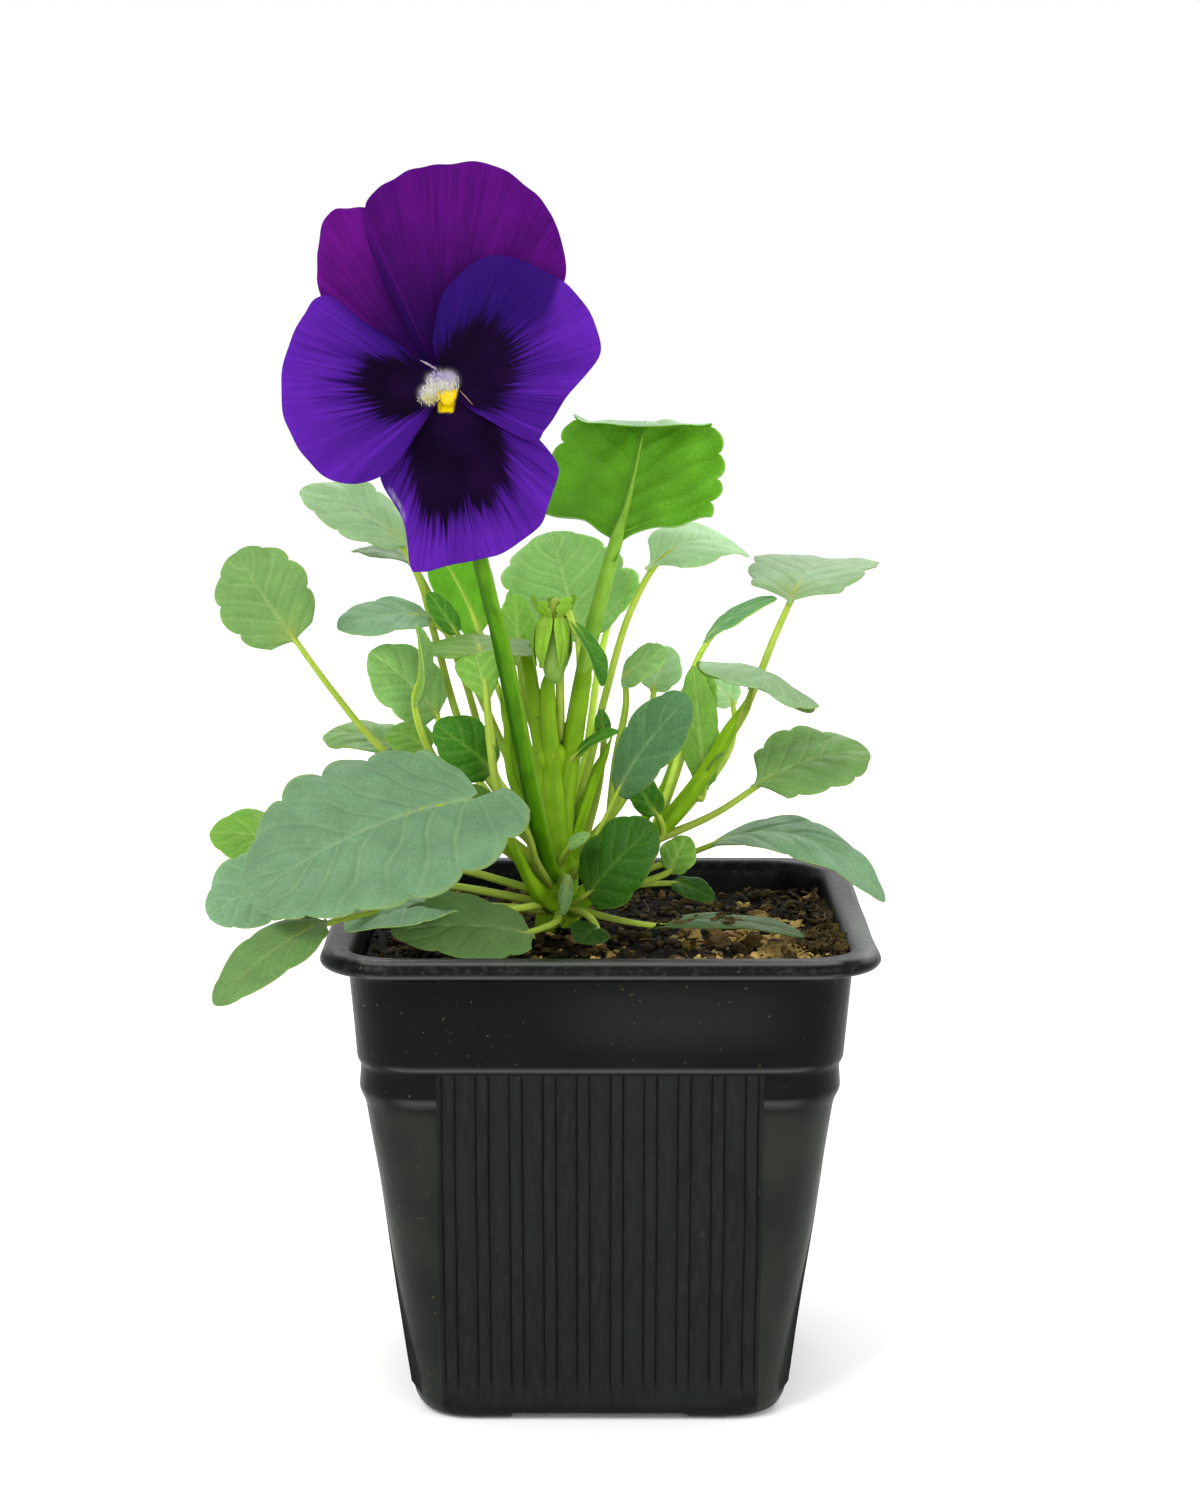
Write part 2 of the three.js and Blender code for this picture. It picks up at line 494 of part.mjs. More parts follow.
// Each petal's margin in the flower's own plane, seen from the front: right and up from the eye. It turns
// one way only about the eye, so that the petal doesn't fold over itself.
// layer: how far forward the petal lies. claw: the angles, in degrees, of its narrow foot round the eye.
const PETALS = [
  { name: 'petal_upper_left', color: magenta, layer: -3.6, claw: [150, 100],
    margin: [[-15.5, 7.5], [-22.3, 17.4], [-22.8, 24.6], [-20.7, 32.7], [-14.2, 33.3], [-7, 33], [0, 30],
      [4, 22]] },
  { name: 'petal_upper_right', color: magenta, layer: -2.4, claw: [115, 50],
    margin: [[-9.7, 16.5], [-13.7, 27.3], [-14, 33.8], [-10.4, 37.4], [-5.2, 40.6], [1, 41.2], [9, 41.2],
      [15.5, 37], [19.6, 31.5], [22.1, 21.6], [17.5, 11.5]] },
  { name: 'petal_lower', color: violet, layer: -1.2, claw: [215, 335],
    margin: [[-9, -5.5], [-11.9, -14.5], [-7.7, -23.4], [-6.5, -31.1], [-4.1, -32.2], [3.1, -30.8],
      [9.7, -29], [16.9, -24.1], [19.2, -18.7], [20.4, -13.5], [17.2, -8.6], [10, -2]] },
  { name: 'petal_side_left', color: violet, layer: 0, claw: [125, 228],
    margin: [[-6.5, 7.4], [-15.3, 13.5], [-21, 17.4], [-25.2, 14.4], [-28.8, 6.1], [-29, -4.1],
      [-25.4, -11.5], [-19.2, -16], [-11.2, -14.7], [-4.6, -6.4]] },
  { name: 'petal_side_right', color: violet, layer: 0, claw: [105, -35],
    margin: [[-2.2, 9.2], [0, 18], [8.3, 24.5], [18.5, 21.8], [25.2, 15.8], [28.2, 7.2], [22.1, -0.5],
      [18, -6.8], [15.5, -8.8], [6.5, -4.2]] },
];

function flowerFrame() {
  const facing = vector(FLOWER_FACING).normalize();
  const right = new THREE.Vector3(0, 0, 1).cross(facing).normalize();
  const up = facing.clone().cross(right);
  const centre = vector(FLOWER_CENTRE);
  return (a, b, depth) => centre.clone()
    .addScaledVector(right, a).addScaledVector(up, b).addScaledVector(facing, depth);
}

const onFlower = flowerFrame();

// The whole face is one shallow dome with a ruffled rim, and the petals lie in layers over it.
function faceDepth(a, b) {
  const reach = Math.hypot(a, b) / 40;
  const angle = Math.atan2(b, a);
  return -3.5 * reach ** 2 + 1.1 * reach ** 2 * Math.sin(7 * angle + 1);
}

function petalSurface(petal) {
  const margin = new THREE.SplineCurve(petal.margin.map(([a, b]) => new THREE.Vector2(a, b)));
  const [from, to] = petal.claw.map(THREE.MathUtils.degToRad);
  return (t, s) => {
    const along = THREE.MathUtils.clamp((s + 1) / 2, 0, 1);
    const angle = from + (to - from) * along;
    const foot = new THREE.Vector2(Math.cos(angle), Math.sin(angle)).multiplyScalar(CLAW_RADIUS);
    const point = foot.lerp(margin.getPoint(along), t);
    return onFlower(point.x, point.y, petal.layer + faceDepth(point.x, point.y));
  };
}

function petalSolid(petal, swell = 0) {
  const columns = petal.margin.length * 2 - 2;
  const ss = [...Array(columns + 1).keys()].map((k) => (2 * k) / columns - 1);
  const ts = [0, 0.35, 0.7, 1];
  return sheetSolid(petalSurface(petal), ts, ss, PETAL_HALF + swell);
}

function spurSolid(swell = 0) {
  const path = [onFlower(0.4, -4, -1.2), onFlower(0.4, -4.6, -5), onFlower(0.4, -4.4, -9.5)];
  return stalkSolid(path.map((p) => p.toArray()), [1.3, 1.1], swell, 6);
}

function eyeSolid(swell = 0) {
  const length = 6.4;
  const head = 1.2;
  const radius = EYE_RADIUS + swell;
  const profile = [[0, -length], [radius, -length], [radius, 0], [radius * 0.8, head * 0.7], [0, head]];
  const geometry = new THREE.LatheGeometry(profile.map(([x, y]) => new THREE.Vector2(x, y)), 10);
  const axes = new THREE.Matrix4().makeBasis(
    onFlower(1, 0, 0).sub(onFlower(0, 0, 0)),
    onFlower(0, 0, 1).sub(onFlower(0, 0, 0)),
    onFlower(0, -1, 0).sub(onFlower(0, 0, 0)));
  axes.setPosition(onFlower(0, 0, 0));
  return solidFromGeometry(geometry, axes);
}

function sepal(angle) {
  const turn = THREE.MathUtils.degToRad(angle);
  const at = (reach, depth) => onFlower(reach * Math.cos(turn), reach * Math.sin(turn), depth).toArray();
  const forward = onFlower(0, 0, 1).sub(onFlower(0, 0, 0)).toArray();
  return { ...LEAF_DEFAULTS, base: at(0.5, -7.4), tip: at(15, -6), up: forward, width: 5, teeth: 2, fold: 6,
    arch: 0, taper: [0.4, 0.8], curl: 0.1 };
}

function flowerStalkSolid(swell = 0) {
  const hook = [[0.2, 0, -7], [0.3, 2, -9.5], [1.5, 0, -12], [3, -8, -10.5]];
  const path = [...hook.map((p) => onFlower(...p).toArray()), [-22, -18, 158], [-18, -18, 141],
    [-14.5, -15, 123], [-11, -8, 104], [-8, 1, 91]];
  const receptacle = new THREE.IcosahedronGeometry(2.4 + swell, 0);
  const seat = onFlower(0, 0.2, -8);
  const head = solidFromGeometry(receptacle, new THREE.Matrix4().makeTranslation(seat.x, seat.y, seat.z));
  const sepals = [90, 162, 18, 234, 306].map((angle) => bladeSolid(sepal(angle), swell));
  return unionOf([stalkSolid(path, [1.1, 1.8], swell, 6), head, ...sepals]);
}

// ---------------------------------------------------------------- bud
function budSolid(swell = 0) {
  const body = new THREE.IcosahedronGeometry(2.7 + swell, 1);
  body.scale(1, 1, 2.3);
  const place = new THREE.Matrix4().makeTranslation(-8.6, -9, 139);
  const sepals = [45, 135, 225, 315].map((angle) => {
    const turn = THREE.MathUtils.degToRad(angle);
    const [out, side] = [Math.cos(turn), Math.sin(turn)];
    return bladeSolid({ ...LEAF_DEFAULTS, base: [-9 + 1.6 * out, -9 + 1.6 * side, 147],
      tip: [-9.6 + 2.8 * out, -9 + 2.8 * side, 136], up: [out, side, 0.1], width: 3.4, teeth: 2, arch: 0.1,
      taper: [0.4, 0.8] }, swell);
  });
  const hook = [[-9, -9, 143], [-8.6, -8.4, 148.6], [-7.4, -6, 147.4], [-7.6, -3.4, 138], [-7.6, 1, 121]];
  const stalk = stalkSolid(hook, [0.8, 0.9], swell);
  return unionOf([solidFromGeometry(body, place), stalk, ...sepals]);
}

// ---------------------------------------------------------------- assembly
const group = new THREE.Group();
group.position.z = -SOLE;
let taken = null;

// Each piece is cut clear of those placed before it, by the gap.
function place(name, material, build) {
  const solid = build(0);
  group.add(meshOf(name, largestBody(taken ? solid.subtract(taken) : solid), material));
  const swollen = build(GAP);
  taken = taken ? taken.add(swollen) : swollen;
}

group.add(meshOf('pot', potSolid(), black));
group.add(meshOf('soil', soilSolid(), peat));
place('main_stem', paleGreen, stemSolid);
place('flower_stalk', stalkGreen, flowerStalkSolid);
place('flower_eye', yellow, eyeSolid);
for (const petal of PETALS) {
  const spur = petal.name === 'petal_lower';
  place(petal.name, petal.color, (swell) => {
    const solid = petalSolid(petal, swell);
    return spur ? solid.add(spurSolid(swell)) : solid;
  });
}
place('bud', paleGreen, budSolid);
for (const entry of LEAVES) {
  const leaf = { ...LEAF_DEFAULTS, ...entry };
  place(leaf.name, greens[leaf.green], (swell) => leafSolid(leaf, swell));
}

export default group;
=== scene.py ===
import math

import bpy
import numpy as np
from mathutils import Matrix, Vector


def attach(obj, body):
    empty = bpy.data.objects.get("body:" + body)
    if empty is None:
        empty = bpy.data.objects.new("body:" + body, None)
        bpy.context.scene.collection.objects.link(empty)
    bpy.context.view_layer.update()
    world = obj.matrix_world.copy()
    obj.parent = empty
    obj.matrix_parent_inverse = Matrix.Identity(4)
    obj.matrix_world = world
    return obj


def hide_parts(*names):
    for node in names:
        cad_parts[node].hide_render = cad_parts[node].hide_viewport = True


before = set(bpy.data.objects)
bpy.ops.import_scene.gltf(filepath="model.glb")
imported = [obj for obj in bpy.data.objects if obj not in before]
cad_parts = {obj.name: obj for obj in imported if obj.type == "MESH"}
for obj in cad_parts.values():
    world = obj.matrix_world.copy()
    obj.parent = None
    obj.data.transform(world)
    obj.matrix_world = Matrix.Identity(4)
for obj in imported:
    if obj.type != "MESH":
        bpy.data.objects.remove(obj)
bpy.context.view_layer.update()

# A flowering pansy in a square nursery pot. Lengths are millimetres: +Z up, the bloom faces -Y, the
# stem's foot is near x = y = 0 and the pot's underside lies at SOLE. to_metres() moves them into place.
SOLE = -2.0
LIP_TOP = 89.0
STEP_HEIGHT = 67.8
FOOT_LIFT = 1.5          # how far the channels between the feet are raised
FOOT_SPACING = 33.0
PAD_RADIUS = 8.0
DRAIN_RADIUS = 4.0
DRAIN_REACH = 22.0       # from the middle of the pot's floor to the middle of a drain hole
RIB_COUNT = 10
RIB_PITCH = 6.1
RIB_EDGE = 1.05          # half the width of a rib
SOIL_LEVEL = 83.0
SOIL_HALF = 44.0
SOIL_CORNER = 10.6
CROWN = (-8.0, 2.0)
CROWN_RADIUS = 4.2
BLADE_HALF = 0.2         # half the thickness of a leaf
PETAL_HALF = 0.13        # half the thickness of a petal
STUDIO_SHARE = 0.56      # how much darker a surface is painted than it looks in the bright studio


# ---------------------------------------------------------------- colours and materials
def display_colour(red, green, blue):
    """A display colour, 0 to 255, as the linear light that shaders take."""
    share = np.array([red, green, blue]) / 255
    linear = np.where(share <= 0.04045, share / 12.92, ((share + 0.055) / 1.055) ** 2.4)
    return (*linear, 1.0)


def tint(base, share):
    """The same colour, lighter or darker."""
    return (*[min(1.0, part * share) for part in base[:3]], 1.0)


def colour(red, green, blue):
    """The paint that looks like this display colour in the studio."""
    return tint(display_colour(red, green, blue), STUDIO_SHARE)


class Skin:
    """A procedural material, with short ways to make and join its nodes.

    Where a method takes a value, a text stands for the value that the mesh's points carry by that name."""

    def __init__(self, name, roughness=0.5, **shader):
        self.material = bpy.data.materials.new(name)
        self.material.use_nodes = True
        self.tree = self.material.node_tree
        self.shader = self.tree.nodes["Principled BSDF"]
        self.set_shader(Roughness=roughness, **shader)

    def set_shader(self, **values):
        for label, value in values.items():
            self.feed(self.shader.inputs[label.replace("_", " ")], value)

    def feed(self, socket, value):
        if isinstance(value, str):
            value = self.point_value(value)
        if isinstance(value, bpy.types.NodeSocket):
            self.tree.links.new(value, socket)
        else:
            socket.default_value = value

    def node(self, kind, inputs=None):
        node = self.tree.nodes.new("ShaderNode" + kind)
        for label, value in (inputs or {}).items():
            self.feed(node.inputs[label], value)
        return node

    def point_value(self, name):
        node = self.tree.nodes.get(name) or self.node("Attribute")
        node.name = node.attribute_name = name
        return node.outputs["Fac"]

    def place(self, stretch=(1, 1, 1)):
        """Where a point is, in millimetres, stretched so that patterns grow longer along an axis."""
        place = self.node("TexCoord").outputs["Object"]
        return self.node("Mapping", {"Vector": place, "Scale": [1000 * part for part in stretch]}).outputs[0]

    def vector(self, *parts):
        return self.node("CombineXYZ", dict(enumerate(parts))).outputs["Vector"]

    def noise(self, size, where=None, detail=3.0, harshness=0.5):
        return self.node("TexNoise", {"Scale": 1 / size, "Detail": detail, "Roughness": harshness,
                                      "Vector": where or self.place()}).outputs["Fac"]

    def net(self, size):
        """How far a point is from the nearest line of a net with cells of this size."""
        node = self.node("TexVoronoi", {"Scale": 1 / size, "Vector": self.place()})
        node.feature = "DISTANCE_TO_EDGE"
        return node.outputs["Distance"]

    def calc(self, operation, first, second):
        node = self.node("Math", {0: first, 1: second})
        node.operation = operation
        return node.outputs["Value"]

    def plus(self, first, second):
        return self.calc("ADD", first, second)

    def minus(self, first, second):
        return self.calc("SUBTRACT", first, second)

    def times(self, first, second):
        return self.calc("MULTIPLY", first, second)

    def ramp(self, value, low, high, start=0.0, end=1.0):
        """start below low, end above high, and a smooth change between them."""
        node = self.node("MapRange", {"Value": value, "From Min": low, "From Max": high, "To Min": start,
                                      "To Max": end})
        node.interpolation_type = "SMOOTHSTEP"
        return node.outputs["Result"]

    def mix(self, share, first, second):
        node = self.tree.nodes.new("ShaderNodeMix")
        node.data_type = "RGBA"
        for label, value in ((0, share), (6, first), (7, second)):
            self.feed(node.inputs[label], value)
        return node.outputs[2]

    def over(self, body, paint, share, *factors):
        """The body with a paint laid over it, as strong as the share and the factors make it."""
        for factor in factors:
            share = self.times(share, factor)
        return self.mix(share, body, paint)

    def scale(self, value, share):
        """A colour made lighter or darker by a share that may change from point to point."""
        node = self.tree.nodes.new("ShaderNodeVectorMath")
        node.operation = "SCALE"
        self.feed(node.inputs["Vector"], value)
        self.feed(node.inputs["Scale"], share)
        return node.outputs["Vector"]

    def dent(self, height, depth):
        """A bump of so many millimetres."""
        bump = self.node("Bump", {"Distance": depth * 0.001, "Height": height})
        self.set_shader(Normal=bump.outputs["Normal"])


def blade_skin(name, upper, lower, rib, young):
    """A leaf blade: waxy above, brighter and netted below, with paler veins, yellow-green at its foot,
    painted shade beside its veins above, and its whole colour scaled by the point value light, which paints
    the light and shade that fall on each leaf.
    """
    skin = Skin(name, Specular_IOR_Level=0.13, Subsurface_Weight=0.25, Subsurface_Radius=(0.7, 1.0, 0.25),
                Subsurface_Scale=0.001)
    cloud = skin.ramp(skin.noise(5.0), 0.3, 0.7)
    cells = skin.noise(0.5, detail=2.0)
    net = skin.ramp(skin.net(1.1), 0.0, 0.12, 1.0, 0.0)
    top = skin.mix(cloud, tint(upper, 0.9), tint(upper, 1.1))
    top = skin.over(top, tint(upper, 0.76), skin.ramp(cells, 0.35, 0.7), 0.45)
    top = skin.over(top, tint(upper, 1.3), skin.ramp(skin.noise(2.2, detail=4.0), 0.5, 0.75), 0.3)
    top = skin.over(top, rib, net, 0.16)
    # painted shade in the hollows beside the veins
    top = skin.over(top, tint(upper, 0.74), "valley", 0.28)
    top = skin.over(top, rib, "vein", 0.32)
    bottom = skin.mix(cloud, tint(lower, 0.92), tint(lower, 1.1))
    bottom = skin.over(bottom, tint(lower, 0.7), net, 0.3)
    bottom = skin.over(bottom, tint(lower, 0.66), "vein", 0.55)
    body = skin.over(skin.mix("face", bottom, top), rib, "midrib", 0.65)
    body = skin.over(body, young, skin.ramp("along", 0.0, 0.36, 1.0, 0.0), "heart", 0.7)
    body = skin.over(body, young, "margin", 0.45)
    # the point value light scales the colour: painted light and shade, leaf by leaf
    skin.set_shader(Base_Color=skin.scale(body, "light"))
    skin.dent(skin.plus(skin.times(cells, 0.6), skin.times(net, -0.4)), 0.12)
    return skin.material


def stalk_skin(name, pale, deep, highlight_stripe=None):
    """A stem or leaf stalk: faint grooves along it, deeper in colour in patches, painted shade in its groove,
    and its colour scaled by its painted light; the flower's stalk also gets painted shade down one side,
    stronger lower down, and a painted highlight stripe down the other.
    """
    skin = Skin(name, roughness=0.4, Specular_IOR_Level=0.07, Subsurface_Weight=0.3,
                Subsurface_Radius=(0.8, 1.0, 0.3), Subsurface_Scale=0.0015)
    lines = skin.noise(1.0, skin.vector(skin.times("around", 9.0), skin.times("length", 0.12)))
    body = skin.mix(skin.ramp(lines, 0.3, 0.7), pale, skin.mix(0.45, pale, deep))
    body = skin.over(body, deep, skin.ramp(skin.noise(4.0), 0.35, 0.7), 0.45)
    # painted shade: the groove is painted darker
    body = skin.over(body, tint(deep, 0.8), "groove")
    if highlight_stripe:
        # painted shade down the side that faces away from +x, stronger lower down
        painted_side_shade = skin.times(skin.minus(1.0, "east"), skin.ramp("length", 30.0, 60.0, 0.25, 1.0))
        body = skin.over(body, tint(deep, 0.9), painted_side_shade)
        # painted highlight: a pale stripe down the side that faces +x
        body = skin.over(body, highlight_stripe, skin.ramp("east", 0.75, 0.95, 0.0, 0.7))
    skin.set_shader(Base_Color=skin.scale(body, "light"))
    skin.dent(skin.plus(skin.times(lines, 0.5), skin.times(skin.noise(0.35), 0.4)), 0.15)
    return skin.material


def petal_skin(name, inner, outer, backed, blotch):
    """Velvet with fine spokes, a feathered dark blotch, a pale throat with a painted glint on the lower
    petal's edge, and painted shade where another petal lies behind it.
    """
    skin = Skin(name, roughness=0.7, Specular_IOR_Level=0.02, Subsurface_Weight=0.1,
                Subsurface_Radius=(0.6, 0.2, 1.0), Subsurface_Scale=0.0005)

    def streaks(size, pace, start, **roughness):
        """A pattern drawn out along the spokes of the bloom."""
        return skin.noise(size, skin.vector("spoke", skin.times("reach", pace), start), **roughness)

    rays = streaks(1.0, 0.07, 0.0, detail=4.0, harshness=0.6)
    patch = skin.noise(9.0)
    body = skin.mix(skin.ramp("outward", 0.25, 1.0), inner, outer)
    body = skin.over(body, tint(inner, 0.8), skin.ramp(patch, 0.35, 0.7), 0.3)
    body = skin.over(body, tint(inner, 0.55), skin.ramp(rays, 0.44, 0.7), 0.35)
    body = skin.over(body, tint(outer, 1.35), skin.ramp(streaks(3.2, 0.05, 7.0, detail=2.0), 0.5, 0.72), 0.35)
    # painted shade where another petal lies behind this one
    body = skin.over(body, backed, "backed", 0.85)
    beyond = skin.minus("beyond", skin.times(skin.minus(rays, 0.5), 15.0))
    body = skin.over(body, tint(backed, 0.8), skin.ramp(beyond, -2.0, 5.5, 0.55, 0.0), "face")
    hairlines = skin.ramp(streaks(0.42, 0.03, 3.0, detail=2.0), 0.5, 0.66)
    body = skin.over(body, tint(backed, 0.45), hairlines, skin.ramp(beyond, 0.0, 12.0, 0.7, 0.12), "face")
    dark = skin.mix(skin.ramp(patch, 0.4, 0.7), blotch, tint(blotch, 2.2))
    body = skin.over(body, dark, skin.ramp(beyond, -1.4, 1.9, 1.0, 0.0), "face")
    cream = skin.mix(skin.ramp(skin.noise(0.7), 0.35, 0.65), colour(188, 178, 206), colour(226, 224, 202))
    gold = skin.mix(skin.ramp(skin.noise(0.8), 0.4, 0.7), colour(255, 222, 0), colour(246, 206, 0))
    # one mask carries the pale throat and the painted glint on the lower petal's edge
    body = skin.over(skin.over(body, cream, "cream", "face"), gold, "gold", "face")
    skin.set_shader(Base_Color=body)
    skin.dent(skin.plus(skin.times(rays, 0.7), skin.times(skin.noise(0.3), 0.3)), 0.14)
    return skin.material


def pot_skin():
    """Black plastic: glossy band and corners, a duller browner ribbed panel, a dusty lip, specks of mud,
    painted shade in the rib grooves, and painted highlights on the edges, the lip and the band.
    """
    skin = Skin("moulded_plastic", Specular_IOR_Level=0.07)
    cloud = skin.noise(14.0, skin.place((1, 1, 0.6)))
    scuff = skin.noise(0.9, skin.place((1, 1, 0.12)), detail=5.0, harshness=0.65)
    body = skin.mix(skin.ramp(cloud, 0.3, 0.75), colour(4, 7, 8), colour(13, 18, 17))
    corner = skin.mix(skin.ramp(cloud, 0.3, 0.7), colour(34, 38, 33), colour(52, 56, 48))
    matt = skin.mix(skin.ramp(scuff, 0.35, 0.7), colour(30, 30, 30), colour(41, 41, 39))
    matt = skin.over(matt, colour(34, 42, 36), skin.ramp(cloud, 0.45, 0.7, 0.0, 0.6))
    body = skin.over(skin.over(body, corner, "corner"), matt, "panel")
    # painted shade in the ribs' grooves, uneven in strength
    faded = skin.ramp(skin.noise(9.0, skin.place((1, 1, 0.25))), 0.3, 0.7, 0.25, 0.75)
    body = skin.over(body, colour(10, 8, 8), "groove_shade", faded)
    # painted highlight: a soft lighter patch on the front of the upper band
    body = skin.over(body, colour(29, 34, 31), "band_highlight")
    # painted reflection: a light grey sheen on the right side of the lip
    body = skin.over(body, colour(132, 138, 136), "painted_lip_sheen", 0.75)
    # painted highlights: thin bright lines along the step, the ring and the lip's edges
    body = skin.over(body, colour(104, 108, 104), "edge_highlight", 0.62)
    dust = skin.ramp(skin.noise(2.2, detail=4.0, harshness=0.7), 0.45, 0.75)
    body = skin.over(body, colour(70, 76, 74), dust, "lip", 0.4)
    mud = skin.times(skin.ramp(skin.noise(1.3, detail=2.0, harshness=0.8), 0.7, 0.72), "muddy")
    gloss = skin.plus(skin.ramp("panel", 0.0, 1.0, 0.3, 0.6), skin.ramp(scuff, 0.3, 0.8, 0.0, 0.16))
    skin.set_shader(Base_Color=skin.over(body, colour(112, 98, 74), mud),
                    Roughness=skin.plus(gloss, skin.times(mud, 0.3)))
    skin.dent(skin.plus(skin.times(scuff, 0.35), skin.times(skin.noise(7.0), 1.2)), 0.12)
    return skin.material


def earth_skin(name, dark, light, size, dent):
    """Damp grains: each has its own tone, and every one is mottled."""
    skin = Skin(name, roughness=0.85, Specular_IOR_Level=0.12)
    grain = skin.noise(size, detail=5.0, harshness=0.7)
    body = skin.mix(skin.ramp(skin.plus(skin.times(grain, 0.6), "tone"), 0.35, 1.15), dark, light)
    body = skin.over(body, tint(dark, 0.6), skin.ramp(skin.noise(size * 0.4), 0.55, 0.75))
    skin.set_shader(Base_Color=body)
    skin.dent(grain, dent)
    return skin.material


def plain_skin(name, dark, light, size, roughness):
    skin = Skin(name, roughness=roughness, Specular_IOR_Level=0.15)
    skin.set_shader(Base_Color=skin.mix(skin.ramp(skin.noise(size), 0.35, 0.65), dark, light))
    skin.dent(skin.noise(size * 0.5), 0.05)
    return skin.material


def hair_skin():
    """The throat's hairs: yellowish low down, white in the middle, lilac above."""
    skin = Skin("white_hair", roughness=0.8)
    body = skin.mix(skin.ramp("high", 0.0, 0.5), display_colour(158, 154, 78), display_colour(184, 184, 168))
    body = skin.over(body, display_colour(134, 118, 170), skin.ramp("high", 0.7, 1.3))
    fleck = skin.ramp(skin.noise(0.8), 0.3, 0.7, 0.0, 0.35)
    skin.set_shader(Base_Color=skin.over(body, display_colour(200, 196, 190), fleck))
    return skin.material


# ---------------------------------------------------------------- points and faces
def to_metres(points):
    return (np.asarray(points, float) - (0, 0, SOLE)) * 0.001


def unit(vectors):
    return vectors / np.maximum(np.linalg.norm(vectors, axis=-1, keepdims=True), 1e-9)


def step(value, low, high):
    """A smooth change from 0 below low to 1 above high."""
    share = np.clip((value - low) / (high - low), 0, 1)
    return share * share * (3 - 2 * share)


def hill(offset, reach, power=2):
    """1 where the offset is 0, falling to nearly 0 beyond the reach."""
    return np.exp(-((offset / reach) ** power))


def turns(sides):
    """Evenly spaced angles round a circle."""
    return np.linspace(0, math.tau, sides, endpoint=False)


def add_object(name, data):
    thing = bpy.data.objects.new(name, data)
    bpy.context.scene.collection.objects.link(thing)
    return thing


def set_values(mesh, name, values):
    attribute = mesh.attributes.get(name) or mesh.attributes.new(name, "FLOAT", "POINT")
    attribute.data.foreach_set("value", values.astype(np.float32))


class Shape:
    """The closed parts of one piece: points in millimetres, faces, skins, and named values at the points."""

    def __init__(self):
        self.points = []
        self.faces = []
        self.skins = []
        self.values = []
        self.count = 0

    def add(self, points, faces, skin=0, **values):
        points = np.asarray(points, float).reshape(-1, 3)
        for block in outward(points, faces):
            self.faces += (block + self.count).tolist()
            self.skins += [skin] * len(block)
        self.points.append(points)
        self.values.append({name: np.broadcast_to(np.ravel(value) if np.ndim(value) else value, len(points))
                            for name, value in values.items()})
        self.count += len(points)

    def mesh(self, name):
        mesh = bpy.data.meshes.new(name)
        mesh.from_pydata(to_metres(np.vstack(self.points)).tolist(), [], self.faces)
        return mesh

    def piece(self, name, skins, slot, *nodes):
        mesh = self.mesh(name)
        for label in sorted({label for part in self.values for label in part}):
            set_values(mesh, label, np.concatenate([part.get(label, np.zeros(len(points)))
                                                    for part, points in zip(self.values, self.points)]))
        mesh.polygons.foreach_set("material_index", self.skins)
        mesh.polygons.foreach_set("use_smooth", [True] * len(self.faces))
        for skin in skins:
            mesh.materials.append(skin)
        piece = add_object(name + "_fine", mesh)
        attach(piece, "root")
        if nodes:
            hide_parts(*nodes)
        return piece


def outward(points, blocks):
    """The faces of one closed part, turned so that they all look out of it."""
    volume = 0.0
    for block in blocks:
        for k in range(1, block.shape[1] - 1):
            a, b, c = points[block[:, 0]], points[block[:, k]], points[block[:, k + 1]]
            volume += np.einsum("ij,ij->", a, np.cross(b, c))
    return blocks if volume > 0 else [block[:, ::-1] for block in blocks]


def grid_quads(index):
    return np.stack([index[:-1, :-1], index[1:, :-1], index[1:, 1:], index[:-1, 1:]], -1).reshape(-1, 4)


def add_sheet(shape, upper, lower, skin=0, **values):
    """A thin sheet between two grids, joined round their rim. Its values hold on both sides."""
    rows, columns = upper.shape[:2]
    count = rows * columns
    index = np.arange(count).reshape(rows, columns)
    rim = np.concatenate([index[0, :-1], index[:-1, -1], index[-1, :0:-1], index[:0:-1, 0]])
    turned = np.roll(rim, -1)
    faces = np.vstack([grid_quads(index), grid_quads(index)[:, ::-1] + count,
                       np.stack([rim, turned, turned + count, rim + count], 1)])
    both = {name: np.tile(np.broadcast_to(value, (rows, columns)).ravel(), 2)
            for name, value in values.items()}
    shape.add(np.stack([upper, lower]), [faces], skin, face=np.repeat([1.0, 0.0], count), **both)


def tube_faces(rings, sides):
    """Rings joined one to the next, with a fan to one more point over each end."""
    index = np.arange(rings * sides).reshape(rings, sides)
    wall = grid_quads(np.hstack([index, index[:, :1]]))
    fans = []
    for ring, tip, turn in ((index[0], rings * sides, 1), (index[-1], rings * sides + 1, -1)):
        fan = np.stack([np.full(sides, tip), ring, np.roll(ring, -1)], 1)
        fans.append(fan[:, ::turn])
    return [wall, np.vstack(fans)]


def lengths_along(path):
    """How far along a path each of its points lies."""
    return np.concatenate([[0], np.cumsum(np.linalg.norm(np.diff(path, axis=0), axis=1))])


def curve(w, start, leave, end, arrive):
    """The place a share w of the way from start to end, for the directions at which it leaves and arrives."""
    return ((2 * w**3 - 3 * w**2 + 1) * start + (w**3 - 2 * w**2 + w) * leave
            + (3 * w**2 - 2 * w**3) * end + (w**3 - w**2) * arrive)


